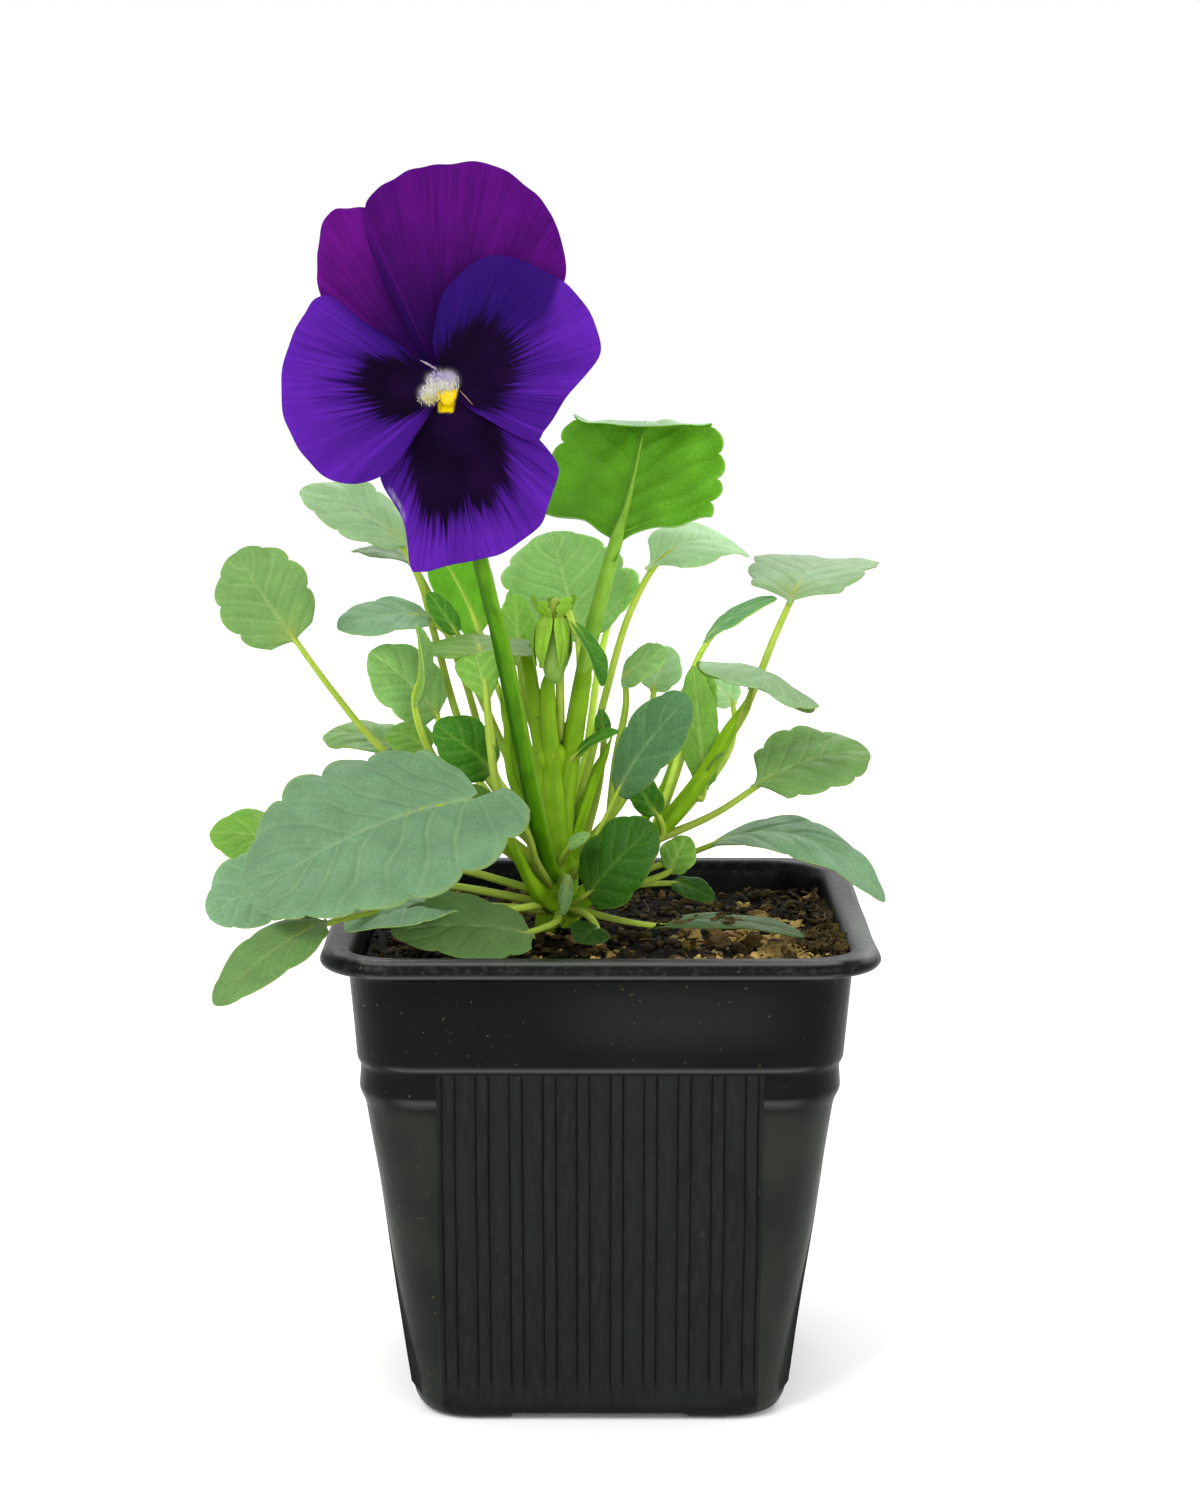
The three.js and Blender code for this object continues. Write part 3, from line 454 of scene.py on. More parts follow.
def smooth_path(points, count):
    """Evenly spaced points on a curve that runs through the given ones without loops."""
    p = np.asarray(points, float)
    p = np.vstack([2 * p[0] - p[1], p, 2 * p[-1] - p[-2]])
    fine = np.linspace(0, 1, 16, endpoint=False)[:, None]
    pieces = []
    for a, b, c, d in zip(p, p[1:], p[2:], p[3:]):
        before, between, after = [max(np.linalg.norm(q), 1e-6) ** 0.5 for q in (b - a, c - b, d - c)]
        leave = ((b - a) / before - (c - a) / (before + between) + (c - b) / between) * between
        arrive = ((c - b) / between - (d - b) / (between + after) + (d - c) / after) * between
        pieces.append(curve(fine, b, leave, c, arrive))
    dense = np.vstack([*pieces, p[-2:-1]])
    reach = lengths_along(dense)
    even = np.linspace(0, reach[-1], count)
    return np.stack([np.interp(even, reach, dense[:, axis]) for axis in range(3)], 1)


def soft_noise(points, size, seed, waves=7):
    """Smooth seeded noise, about -1 to 1, with features of this size."""
    draw = np.random.default_rng(seed)
    total = 0.0
    for _ in range(waves):
        direction = unit(draw.normal(size=points.shape[-1]))
        pace = 2 * math.pi / size * draw.uniform(0.6, 1.5)
        total = total + np.sin(points @ direction * pace + draw.uniform(0, 2 * math.pi))
    return total / waves**0.5


def tube(shape, path, radii, sides=10, skin=0, ribs=0.0, groove=0.0, dimple=0.0, **values):
    """A stalk along a path of points: radii at each, faint ribs, and a groove down one side."""
    path = np.asarray(path, float)
    count = len(path)
    radii = np.broadcast_to(radii, count)
    tangents = unit(np.gradient(path, axis=0))
    side = np.cross(tangents[0], (0.3, 0.2, 1.0) if abs(tangents[0][2]) < 0.9 else (0.0, 1.0, 0.1))
    turn = turns(sides)
    from_groove = turn - math.pi / 2
    section = 1 + ribs * np.cos(5 * turn) - groove * hill(from_groove, 0.55)
    rings, east = [], []
    for centre, tangent, radius in zip(path, tangents, radii):
        side = unit(side - tangent * np.dot(side, tangent))
        out = np.cos(turn)[:, None] * side + np.sin(turn)[:, None] * np.cross(tangent, side)
        rings.append(centre + radius * section[:, None] * out)
        # east: how far each point faces +x; the flower stalk's painted shade and highlight stripe follow it
        east.append(0.5 + 0.5 * out[:, 0])
    points = np.vstack([*rings, path[:1] - tangents[0] * radii[0] * 0.4,
                        path[-1:] + tangents[-1] * radii[-1] * 0.4])
    if dimple:
        points = points + dimple * soft_noise(points, 4.0, 5)[:, None] * 0.5
    length = lengths_along(path)
    # light: painted light and shade, a share that scales the colour; 1 paints none
    shape.add(points, tube_faces(count, sides), skin, around=[*np.tile(turn / math.tau, count), 0, 0],
              length=[*np.repeat(length, sides), length[0], length[-1]], east=[*np.ravel(east), 0.5, 0.5],
              groove=[*np.tile(2 * groove * hill(from_groove, 0.5), count), 0, 0], **{"light": 1.0, **values})


def ball(shape, centre, radius, stretch=(1, 1, 1), rows=18, sides=24, wobble=0.0, seed=0, skin=0, **values):
    """A round body built of rings, stretched along its axes and dented a little."""
    angle = np.linspace(0, math.pi, rows + 2)[1:-1, None]
    turn = turns(sides)[None, :]
    rings = np.stack([np.sin(angle) * np.cos(turn), np.sin(angle) * np.sin(turn),
                      np.cos(angle) * np.ones_like(turn)], -1).reshape(-1, 3)
    points = np.vstack([rings, (0, 0, 1), (0, 0, -1)])
    if wobble:
        points = points * (1 + wobble * soft_noise(points, 1.3, seed))[:, None]
    points = points * radius * np.array(stretch)
    shape.add(points + centre, tube_faces(rows, sides), skin, **values)


# ---------------------------------------------------------------- leaves
# light: the leaf's painted light and shade, a share that lightens or darkens its colour
LEAF_DEFAULTS = dict(taper=(0.55, 0.6), teeth=4, tooth_depth=0.12, flare=0.07, neck=1.4, fold=8, arch=0.08,
                     curl=0.1, lobe=(0, 0), thick=(0.7, 0.95), wave=0.06, roll=0.0, light=1.0, foot=0.5,
                     relief=1.0, green="grey", tone=None)
ROLL_START = 0.87        # a rolled leaf curls over from here to its tip
ROLL_TURN = 2.5          # how far it curls over, in radians, before it runs straight on
VEIN_SLANT = 0.34        # how far a side vein runs towards the tip on its way to the edge, in blade lengths
LEAF_SLOTS = {"grey": "leaf_grey_green", "dark": "leaf_dark_green", "bright": "leaf_bright_green"}


def plan(base, tip, up, width, stalk=(), **more):
    """What a leaf grows from: the foot and tip of its blade, where its upper side faces, its width, the
    stalk's way down to the crown or shoot, and whatever differs from the defaults."""
    return {**LEAF_DEFAULTS, "base": base, "tip": tip, "up": up, "width": width, "stalk": stalk,
            "veins": 3 + width / 9, **more}


# each plan's light paints light and shade: above 1 the leaf is painted lighter, below 1 painted in shade
LEAVES = {
    "front_left_large": plan((-23.4, -25.1, 114.1), (-63, -44, 99), (-0.2, -0.75, 0.62), 36,
        [(-15, -18, 108), (-12, -9, 99), (-9, -1, 92)], tone="blue", light=0.9, foot=0.05, flare=0.02,
        taper=(0.4, 0.55), teeth=8, arch=0.1, lobe=(0.06, 0.235), fold=4),
    "left_round": plan((-57, -8, 141), (-68.5, -5, 157.5), (-0.2, -0.9, 0.35), 18.5,
        [(-50, -7, 131), (-42, -6, 121), (-24, -4, 105), (-9, 0, 93)], foot=0.9, taper=(0.5, 0.5), teeth=5),
    "upper_left": plan((-37, 12, 157), (-58, 18, 168), (-0.1, -0.4, 0.9), 17,
        [(-35, 11, 151), (-32, 10, 140), (-25, 7, 118), (-9, 2, 97)], tone="pale", light=1.1, teeth=6),
    "upper_left_narrow": plan((-36, 22, 153), (-49, 26, 155), (0, -0.1, 1), 10,
        [(-33, 20, 146), (-27, 16, 132), (-20, 9, 112), (-8, 3, 96)], tone="pale", foot=0.1, light=0.75),
    "left_oval": plan((-32.5, 8, 144), (-50, 1, 142.5), (-0.1, -0.45, 0.9), 14,
        [(-29, 10, 140), (-24, 9.5, 130), (-16, 6, 113), (-8, 2, 100)], tone="blue", light=1.25),
    "left_folded": plan((-35, -12, 129), (-34, -17, 145), (0.92, -0.3, 0.2), 8,
        [(-33, -11, 123), (-22, -7, 106), (-9, 0, 94)], green="bright", tone="grey", foot=0.2, light=1.3,
        fold=30),
    "left_middle": plan((-31, 5, 125), (-44, 1, 138), (-0.2, -0.65, 0.72), 15,
        [(-28, 5, 119), (-20, 4, 108), (-8, 2, 95)], light=1.6),
    "level_strap": plan((-22, -14, 139), (-25, 4, 141), (0, -0.15, 1), 23,
        [(-21.3, -14.5, 134), (-20.5, -13, 122), (-18.5, -10, 111), (-9, -1, 98)], tone="bright",
        relief=0.3, light=0.98, fold=-6),
    "left_dark": plan((-20, -5, 116), (-31, -12, 126), (-0.1, -0.85, 0.45), 12,
        [(-17, -4, 111), (-8, 1, 104)], green="dark", light=1.45),
    "left_rear": plan((-40, 22, 116), (-55, 30, 118), (0, -0.3, 0.95), 15,
        [(-34, 18, 113), (-22, 10, 103), (-8, 3, 92)], light=1.15),
    "left_rear_small": plan((-33, 15, 117), (-42, 20, 120), (0, -0.6, 0.8), 9,
        [(-29, 12, 112), (-20, 7, 103), (-8, 3, 94)], green="bright", light=1.4, teeth=3),
    "low_left": plan((-56, 0, 100), (-75, 0, 103), (0, -0.6, 0.8), 15,
        [(-44, 1, 99), (-28, 1, 96), (-8, 2, 90)], green="bright", light=1.25),
    "low_left_front": plan((-56, -14, 98), (-73, -20, 91), (-0.2, -0.75, 0.65), 18,
        [(-44, -11, 96), (-28, -7, 94), (-8, 1, 88.5)], tone="blue", light=1.2),
    "hanging_left": plan((-49, -40, 94.5), (-68, -53, 82), (-0.3, -0.7, 0.65), 12,
        [(-40, -30, 94), (-24, -16, 92), (-8, 1, 87.5)], light=0.78),
    "under_large": plan((-26, -22, 93), (-46, -36, 91.5), (-0.1, -0.2, 1), 16,
        [(-18, -14, 91), (-8, 1, 89.5)], tone="blue", light=1.85),
    "front_on_soil": plan((-12, -24, 88), (-38, -34, 91), (0.05, -0.6, 0.8), 17,
        [(-9, -18, 89), (-8, -8, 88.5), (-8, 1, 88)], green="dark", tone="grey", light=0.74, foot=0.15,
        teeth=6),
    "right_on_soil": plan((9, -14, 87.3), (38, -22, 87.5), (0, -0.1, 1), 10, [(4, -10, 88), (-8, 1, 89)],
        light=0.3, teeth=5),
    "small_round": plan((0, -17, 88.2), (-4, -24, 86.8), (0, -0.6, 0.8), 8, [(-2, -11, 89), (-8, 1, 89)],
        green="dark", light=0.38, teeth=3),
    "dark_round": plan((-2.5, -8, 92), (10.5, -15, 107), (-0.35, -0.8, 0.45), 16,
        [(-5, -5, 90.5), (-8, 1, 89.5)], green="dark", light=0.82, foot=0.2, taper=(0.5, 0.5)),
    "blue_oval": plan((3, -10, 112), (16.5, -19, 132), (-0.45, -0.8, 0.35), 13,
        [(0, -8, 105), (-4, -4, 97), (-8, 1, 92)], green="dark", tone="deep", foot=0.2, taper=(0.6, 0.45)),
    "tall": plan((2.0, -0.5, 155.5), (9.2, 16.6, 184), (0.3, 0.85, -0.7), 37,
        [(0.5, 0, 150), (-3, 0.5, 135), (-6, 1.5, 118), (-8, 2, 104)], green="bright", tone="two_tone",
        light=1.3, roll=0.7, taper=(0.15, 0.2), tooth_depth=0.09, flare=0.3, neck=3.8, teeth=9, fold=4,
        arch=0.06, thick=(1.45, 1.75)),
    "behind_centre": plan((-4, 22, 137), (-10, 36, 158), (0, -0.8, 0.6), 26,
        [(-4, 20, 131), (-5, 12, 115), (-8, 3, 99)], light=1.8, teeth=6),
    "behind_small": plan((2, 27, 142), (6, 33, 151), (-0.3, -0.8, 0.55), 9,
        [(0, 23, 134), (-3, 12, 115), (-8, 3, 97)], light=3.0, teeth=3),
    "centre_upright": plan((-15.5, 8, 134), (-16.5, 12, 148), (0, -0.92, 0.35), 8,
        [(-14, 6, 126), (-8, 2, 112)], tone="bright", light=1.75, teeth=3),
    "behind_bloom": plan((-23, 12, 140), (-33, 18, 158), (0.3, 0.85, 0.1), 12,
        [(-20, 11, 130), (-13, 6, 114), (-8, 2, 106)], green="bright", light=1.8),
    "upper_right_arched": plan((9, 20, 152), (29, 34, 154), (0.05, -0.4, 0.92), 17,
        [(6, 18, 144), (1, 12, 128), (-3, 6, 112), (-8, 3, 98)], tone="pale", relief=0.6, flare=0.16,
        light=1.6, arch=0.18),
    "far_right": plan((36, 4, 147), (46, 30, 153), (-0.05, -0.25, 0.97), 25,
        [(33.5, 3, 141), (28.5, 0, 129), (25, 0, 122.5)], tone="pale", relief=0.4, flare=0.16, foot=1.1,
        light=0.92, wave=0.02, taper=(0.4, 0.25), teeth=6, thick=(0.7, 0.9)),
    "right_middle": plan((28.5, -3, 131.5), (30, -19, 133.5), (0.35, 0.1, 0.93), 25,
        [(27.8, -0.8, 127), (24.8, -0.4, 122), (21.5, 0, 117)], tone="pale", relief=0.5, flare=0.16,
        light=0.9, fold=2, curl=0.3, arch=0.22, taper=(0.5, 0.5)),
    "right_large": plan((29, 0, 112), (52, 8, 118), (0, -0.5, 0.85), 20, [(22, -1, 107), (9, 0, 101)],
        flare=0.16, foot=0.3, teeth=6),
    "right_over_rim": plan((21, 14, 98), (55, 1, 89.5), (0.1, -0.35, 0.93), 15, [(12, 10, 95), (-8, 3, 90)],
        tone="blue", light=1.1, foot=0.2, arch=0.22, teeth=6),
    "right_thin": plan((20, 12, 138.5), (34, 8, 147.5), (-0.5, -0.25, 0.83), 9,
        [(18, 11, 133), (16, 6, 120), (10, 1, 102)], green="dark", tone="deep", light=2.2, teeth=5),
    "right_pale": plan((27, 22, 125), (19, 26, 131), (0, -0.8, 0.6), 9,
        [(26, 18, 118), (18, 8, 108), (6, 1, 97)], green="bright", tone="pale", light=1.8),
    "right_inner": plan((4, 6, 132), (13, 1, 137.5), (-0.2, -0.6, 0.8), 11,
        [(5, 6, 127), (3, 4, 116), (1, 1, 94)], light=1.5, teeth=3),
    "right_wing": plan((20.5, 3, 111), (18, 4, 135), (-0.1, -0.95, 0.1), 8,
        [(19.5, 2, 109.5), (18, 0, 111)], green="bright", light=1.4),
    "right_soil_small": plan((14, 6, 92.5), (22, 2, 89.5), (0, -0.6, 0.8), 6, [(6, 4, 92), (-8, 2, 91)],
        green="dark", light=0.75, teeth=3),
    "right_curled": plan((13.5, -4, 96), (17, -3, 103), (-0.4, -0.8, 0.3), 8, [(8, -3, 94), (0, 0, 92)],
        green="bright", light=1.35, teeth=3),
}
# Young leaves and bracts that crowd the middle of the plant.
YOUNG_LEAVES = {
    "bud_bract": plan((-5.6, -11, 145.5), (0.4, -13, 133.3), (0.7, -0.65, 0.3), 5.5,
        [(-6, -10.5, 147.2), (-7.4, -9, 147.4)], green="dark", taper=(0.8, 0.6), fold=30, light=1.3),
    "behind_right": plan((10.2, 16, 128.3), (13.8, 18, 137), (0, -0.8, 0.6), 9,
        [(9.3, 10, 118), (4, 6, 108), (-4, 3, 99)], green="bright", tone="pale", teeth=3, light=1.6),
    "spatulate": plan((0.8, -2, 121.6), (0.2, -3, 127.6), (0, -0.95, 0.2), 3.2,
        [(-0.4, 0, 111.6), (-4.8, 0, 96)], green="dark", teeth=1, light=1.1, foot=0.1),
    "branch": plan((-4.6, -3, 118.6), (3.4, -8, 124), (-0.3, -0.5, 0.8), 4.6,
        [(-5.6, -1.5, 117.5), (-6.6, 1, 115)], green="dark", teeth=2, fold=15, light=1.3),
    "low_right": plan((11.1, -4, 107.2), (5.7, -6, 116.4), (-0.2, -0.9, 0.3), 6.5,
        [(12, -2, 103.5), (9, 0, 100)], green="dark", teeth=2, light=1.4),
    "crown_tip": plan((-6.1, -10, 102.2), (-1.9, -13, 105.2), (0, -0.8, 0.6), 3.2,
        [(-6.8, -7, 100), (-8, -2, 97)], teeth=2, light=1.1, foot=0.4),
    "tongue": plan((-6, -9, 96.8), (-7, -12, 89.6), (0, -0.95, 0.3), 3,
        [(-6.6, -6.5, 96), (-7.6, -2, 93.5)], teeth=1, fold=-10, light=0.9),
    "left_dark": plan((-27.2, 5, 140.8), (-33, 6, 148.9), (0, -0.9, 0.4), 5,
        [(-25.5, 7.5, 137), (-24.2, 9, 131)], green="dark", teeth=2, light=1.7, foot=0.2),
    "left_low": plan((-20, -3, 108), (-26, -6, 113), (-0.1, -0.8, 0.5), 5, [(-16, -2, 104), (-9, 0, 98)],
        green="bright", teeth=2, light=1.3),
    "strap_foot": plan((-20.8, -14.6, 130.5), (-23.2, -13.4, 139.4), (0, -0.9, 0.3), 9,
        [(-20.8, -14.3, 128), (-20.3, -12.9, 122)], green="bright", taper=(0.9, 0.2), teeth=1, light=1.35,
        foot=0.8),
    "right_fan": plan((17, 7, 122), (21, 8, 133), (-0.2, -0.9, 0.2), 8, [(15.5, 6, 116), (12, 3, 107)],
        green="bright", teeth=3, light=1.7),
}


def blade_frame(leaf):
    base, tip, up = (np.array(leaf[key], float) for key in ("base", "tip", "up"))
    length = np.linalg.norm(tip - base)
    axis = (tip - base) / length
    side = unit(np.cross(up, axis))
    return base, axis, side, np.cross(axis, side), length


def blade_half_width(leaf, u, s):
    """Half the blade's width: u runs from the base to the tip, and s from one edge to the other."""
    widen, narrow = leaf["taper"]
    peak = widen / (widen + narrow)
    around = np.arccos(1 - 2 * np.clip(u, 0, 1)) / math.pi
    notch = 1 - np.abs(np.sin(math.pi * leaf["teeth"] * around)) ** 0.6
    depth = leaf["tooth_depth"] * (step(u, 0.01, 0.06) if leaf["lobe"][1] else step(u, 0.03, 0.22))
    tooth = 1 - depth * (0.35 + (notch - 0.35) * np.abs(s) ** 5)
    swelling = (u / peak) ** widen * ((1 - u) / (1 - peak)) ** narrow
    flare = np.clip(u / leaf["flare"], 0, 1) ** leaf["neck"]
    return np.maximum(0.8 * leaf["thick"][0], 0.5 * leaf["width"] * swelling * tooth * flare)


def blade_points(leaf, u, s):
    base, axis, side, up, length = blade_frame(leaf)
    half = blade_half_width(leaf, u, s)
    fold = math.radians(leaf["fold"])
    across = s * half * math.cos(fold)
    wave = leaf["wave"] * half * np.abs(s) ** 3 * np.sin(9 * u + 2.5 * s + leaf["width"])
    rise = np.abs(s) * half * math.sin(fold) - leaf["curl"] * half * s * s + wave
    lobe = np.where(s < 0, leaf["lobe"][0], leaf["lobe"][1]) * length
    along = u * length - lobe * s**2 * (1 - u) ** 3 * (1 - np.exp(-((u / 0.006) ** 0.5)))
    height = rise + leaf["arch"] * length * 4 * u * (1 - u)
    if leaf["roll"]:
        rolled = np.clip(u - ROLL_START, 0, 1) * length
        turn = np.minimum(rolled / leaf["roll"], ROLL_TURN)
        flap = rolled - leaf["roll"] * turn
        along = along - rolled + leaf["roll"] * np.sin(turn) + flap * np.cos(turn)
        height = height - leaf["roll"] * (1 - np.cos(turn)) - flap * np.sin(turn)
    along, across, height = (np.broadcast_to(part, np.broadcast(u, s).shape)[..., None]
                             for part in (along, across, height))
    return base + along * axis + across * side + height * up


def leaf_blade(shape, leaf, skin=0):
    """The blade as a thin sheet: sunk veins and puckers between them above, raised veins below."""
    length = blade_frame(leaf)[4]
    rows = int(np.clip(length / 0.25, 40, 190))
    columns = 2 * int(np.clip(leaf["width"] / 0.66, 12, 40)) + 1
    u, s = np.meshgrid(0.5 - 0.5 * np.cos(np.linspace(0, math.pi, rows)), np.linspace(-1, 1, columns),
                       indexing="ij")
    grid = blade_points(leaf, u, s)
    half = blade_half_width(leaf, u, s)
    edge, across = np.abs(s), s * half
    flat = np.stack([u * length, across], -1)
    normal = unit(np.cross(np.gradient(grid, axis=0), np.gradient(grid, axis=1)))
    phase = (u - VEIN_SLANT * edge**0.85) * leaf["veins"] + np.where(s < 0, 0.5, 0.0)
    phase = phase + 0.09 * soft_noise(flat, 12.0, 17)
    to_vein = np.abs(phase - np.round(phase)) / leaf["veins"] * length
    vein = hill(to_vein, 0.3) * (1 - 0.55 * edge) * np.clip(edge * half / 0.6, 0, 1)
    midrib = hill(edge * half, 0.16 + 0.4 * (1 - u) ** 1.3)
    size = leaf["relief"] * np.clip(leaf["width"] / 22, 0.3, 1.3)
    pucker = 0.28 * size * (1 - hill(to_vein, 1.1)) * (1 - edge**6) * (4 * u * (1 - u)) ** 0.5
    uneven = 0.34 * size * soft_noise(flat, 11.0, 3) * (1 - hill(across, 2.5))
    thick = BLADE_HALF * (1 - 0.6 * np.maximum(edge**8, np.abs(2 * u - 1) ** 16))
    middle = grid + normal * (pucker + uneven)[..., None]
    # light carries the leaf's painted light and shade
    add_sheet(shape, middle + normal * (thick - 0.07 * vein - 0.14 * midrib)[..., None],
              middle - normal * (thick + 0.09 * vein + 0.12 * midrib)[..., None], skin, vein=vein, along=u,
              midrib=midrib * (1 - 0.45 * u), margin=np.clip((edge - 0.955) / 0.045, 0, 1),
              # where painted shade lies beside the veins
              heart=leaf["foot"] * hill(s, 0.5), valley=hill(to_vein - 0.85, 0.5) * (1 - edge**4),
              light=leaf["light"])


def leaf_stalk(shape, leaf):
    """The midrib under the blade and the stalk, as one grooved tube that thickens on its way down."""
    up = blade_frame(leaf)[3]
    keel = blade_points(leaf, np.array([0.84, 0.6, 0.36, 0.13]), np.zeros(4))
    thin, thick = leaf["thick"]
    radii = np.array([0.14, 0.24, 0.42, 0.86]) * thin
    keel = keel - up * (BLADE_HALF + 0.35 * radii)[:, None]
    route = np.vstack([keel, np.array(leaf["stalk"], float)])
    reach = lengths_along(route)
    count = max(16, int(reach[-1] / 0.9))
    known = np.concatenate([radii, thin + (thick - thin) * np.linspace(0, 1, len(leaf["stalk"]))])
    # the stalk takes its leaf's painted light where that is brighter than 1
    tube(shape, smooth_path(route, count), np.interp(np.linspace(0, reach[-1], count), reach, known), 14, 1,
         ribs=0.06, groove=0.3, light=0.4 + 0.6 * max(1.0, leaf["light"]))


def build_leaf(name, leaf, *nodes):
    shape = Shape()
    leaf_blade(shape, leaf)
    leaf_stalk(shape, leaf)
    tone = leaf["tone"] or leaf["green"]
    stalk = stalks["leafy" if tone == "two_tone" else "pale"]
    shape.piece(name, [blades[tone], stalk], LEAF_SLOTS[leaf["green"]], *nodes)


def small_blade(shape, base, tip, up, width, teeth=2, **more):
    """A stipule, bract or sepal, as the second skin of its piece."""
    leaf_blade(shape, plan(base, tip, up, width, teeth=teeth, veins=2, **more), skin=1)


# ---------------------------------------------------------------- stems
STIPULES = [((-9.5, 0, 88), (-14, -8, 96), 4), ((-7, -1, 88), (-5, -7, 95), 3),
            ((-10, 1, 91), (-17, -2, 99), 4), ((-8, 3, 93), (-9, 11, 101), 4),
            ((20, 0, 114.4), (23.5, -3, 119), 3), ((-7.6, 2, 117), (-12, -2, 126), 4)]
# route, then the radii at its foot and at its tip
YOUNG_STEMS = [
    ([(-8.2, -1, 100), (-9.8, -1.4, 112), (-11.4, -1, 123), (-13.2, 0.5, 133), (-14.6, 4, 141)], 2.3, 1.2),
    ([(-8, -1.8, 98), (-8.6, -2.4, 110), (-9.4, -2.4, 121), (-9.9, -2, 131), (-9, -3, 137)], 2.4, 1.2),
    ([(-7.6, -0.8, 98), (-6.8, -0.6, 110), (-5.2, -0.4, 120), (-3.4, 0, 131), (-2.2, 0.4, 138.6)], 2.4, 1.5),
    ([(-7.2, 0, 93), (-4.6, -1, 102), (-0.6, -2, 114.5), (2.3, -3, 122.4)], 1.2, 0.7),
    ([(-7.4, 2, 95), (-5.6, 2, 103.4), (-1.5, 2, 112.8), (0.6, 1, 119)], 1.2, 0.7),
    ([(6, 1.5, 101), (10, 3, 108), (13.2, 5, 113), (16, 6, 119), (17.6, 7, 125)], 0.9, 0.5),
    ([(4, 2, 99.5), (8, 4, 104), (12, 6, 110.6), (14, 8, 116.4), (14.6, 10, 122)], 0.9, 0.5),
    ([(-8.5, 1, 96), (-14, 2, 106), (-17.4, 2, 115), (-18, 3, 123), (-19.4, 5, 131)], 1.1, 0.6),
    ([(-8.5, 2, 96), (-13, 3, 104), (-15.8, 4, 113), (-16.8, 4.5, 121), (-16.6, 6, 128)], 1.1, 0.6),
    ([(-8, -1, 88), (-11.5, -6, 92), (-14, -9, 97), (-16, -11.5, 103)], 1.7, 0.9),
    ([(-8, -1, 89), (-12.5, -4, 94), (-16, -5, 99.5), (-18.5, -6, 105)], 1.6, 0.8),
    ([(-7, -1, 88), (-4, -5, 91), (-1.6, -7, 94.5)], 1.7, 0.9),
]
NODE_SWELLINGS = [((-9.2, -1.6, 117.6), 2.9, (1.0, 0.8, 1.3)), ((-7.6, 0, 97), 4.0, (1.0, 0.9, 1.2))]


def closing_end(count):
    """Shares of a shoot's radius, which closes where it passes into a leaf stalk."""
    return 1 - 0.75 * step(np.linspace(0, 1, count), 0.86, 1.0)


def shoot(shape, route, foot, tip, count, sides, **look):
    """A stem that thins evenly and closes where it passes into a leaf stalk."""
    radii = np.linspace(foot, tip, count) * closing_end(count)
    tube(shape, smooth_path(route, count), radii, sides, **look)


def build_stem():
    shape = Shape()
    x, y = CROWN
    crown = [(x, y, 71), (x, y, 80), (x, y - 0.6, 88), (x, y - 1, 93), (x, y - 0.5, 101)]
    radii = np.interp(np.linspace(0, 1, 40), [0, 0.5, 0.75, 1], [CROWN_RADIUS, CROWN_RADIUS, 3.9, 2.7])
    tube(shape, smooth_path(crown, 40), radii, 36, ribs=0.07, dimple=0.3)
    tube(shape, smooth_path([(x, y, 94), (x + 0.3, y, 108), (x + 0.5, y, 124)], 40),
         np.linspace(3, 1.4, 40), 24, ribs=0.09, groove=0.2, dimple=0.2)
    shoot(shape, [(x + 2, y - 2, 88), (3, 0, 95), (12, 0, 104), (20.5, 0, 115), (28, 0, 129)], 2.4, 1.3, 60,
          24, ribs=0.09, groove=0.25, dimple=0.2)
    for base, tip, width in STIPULES:
        small_blade(shape, base, tip, (0, -0.5, 1), width, teeth=3, tooth_depth=0.4)
    shape.piece("main_stem", [stalks["stem"], blades["bright"]], "stem", "main_stem")


def build_young_stems():
    """Clasping young stems round the main one, and the swellings where they part from it."""
    shape = Shape()
    for route, foot, tip in YOUNG_STEMS:
        shoot(shape, route, foot, tip, 50, 18, ribs=0.08, groove=0.2, dimple=0.15)
    for k, (centre, radius, stretch) in enumerate(NODE_SWELLINGS):
        ball(shape, centre, radius, stretch, 24, 30, wobble=0.07, seed=50 + k, length=centre[2] * 0.3,
             light=1.0)
    shape.piece("young_stems", [stalks["stem"]], "stem")


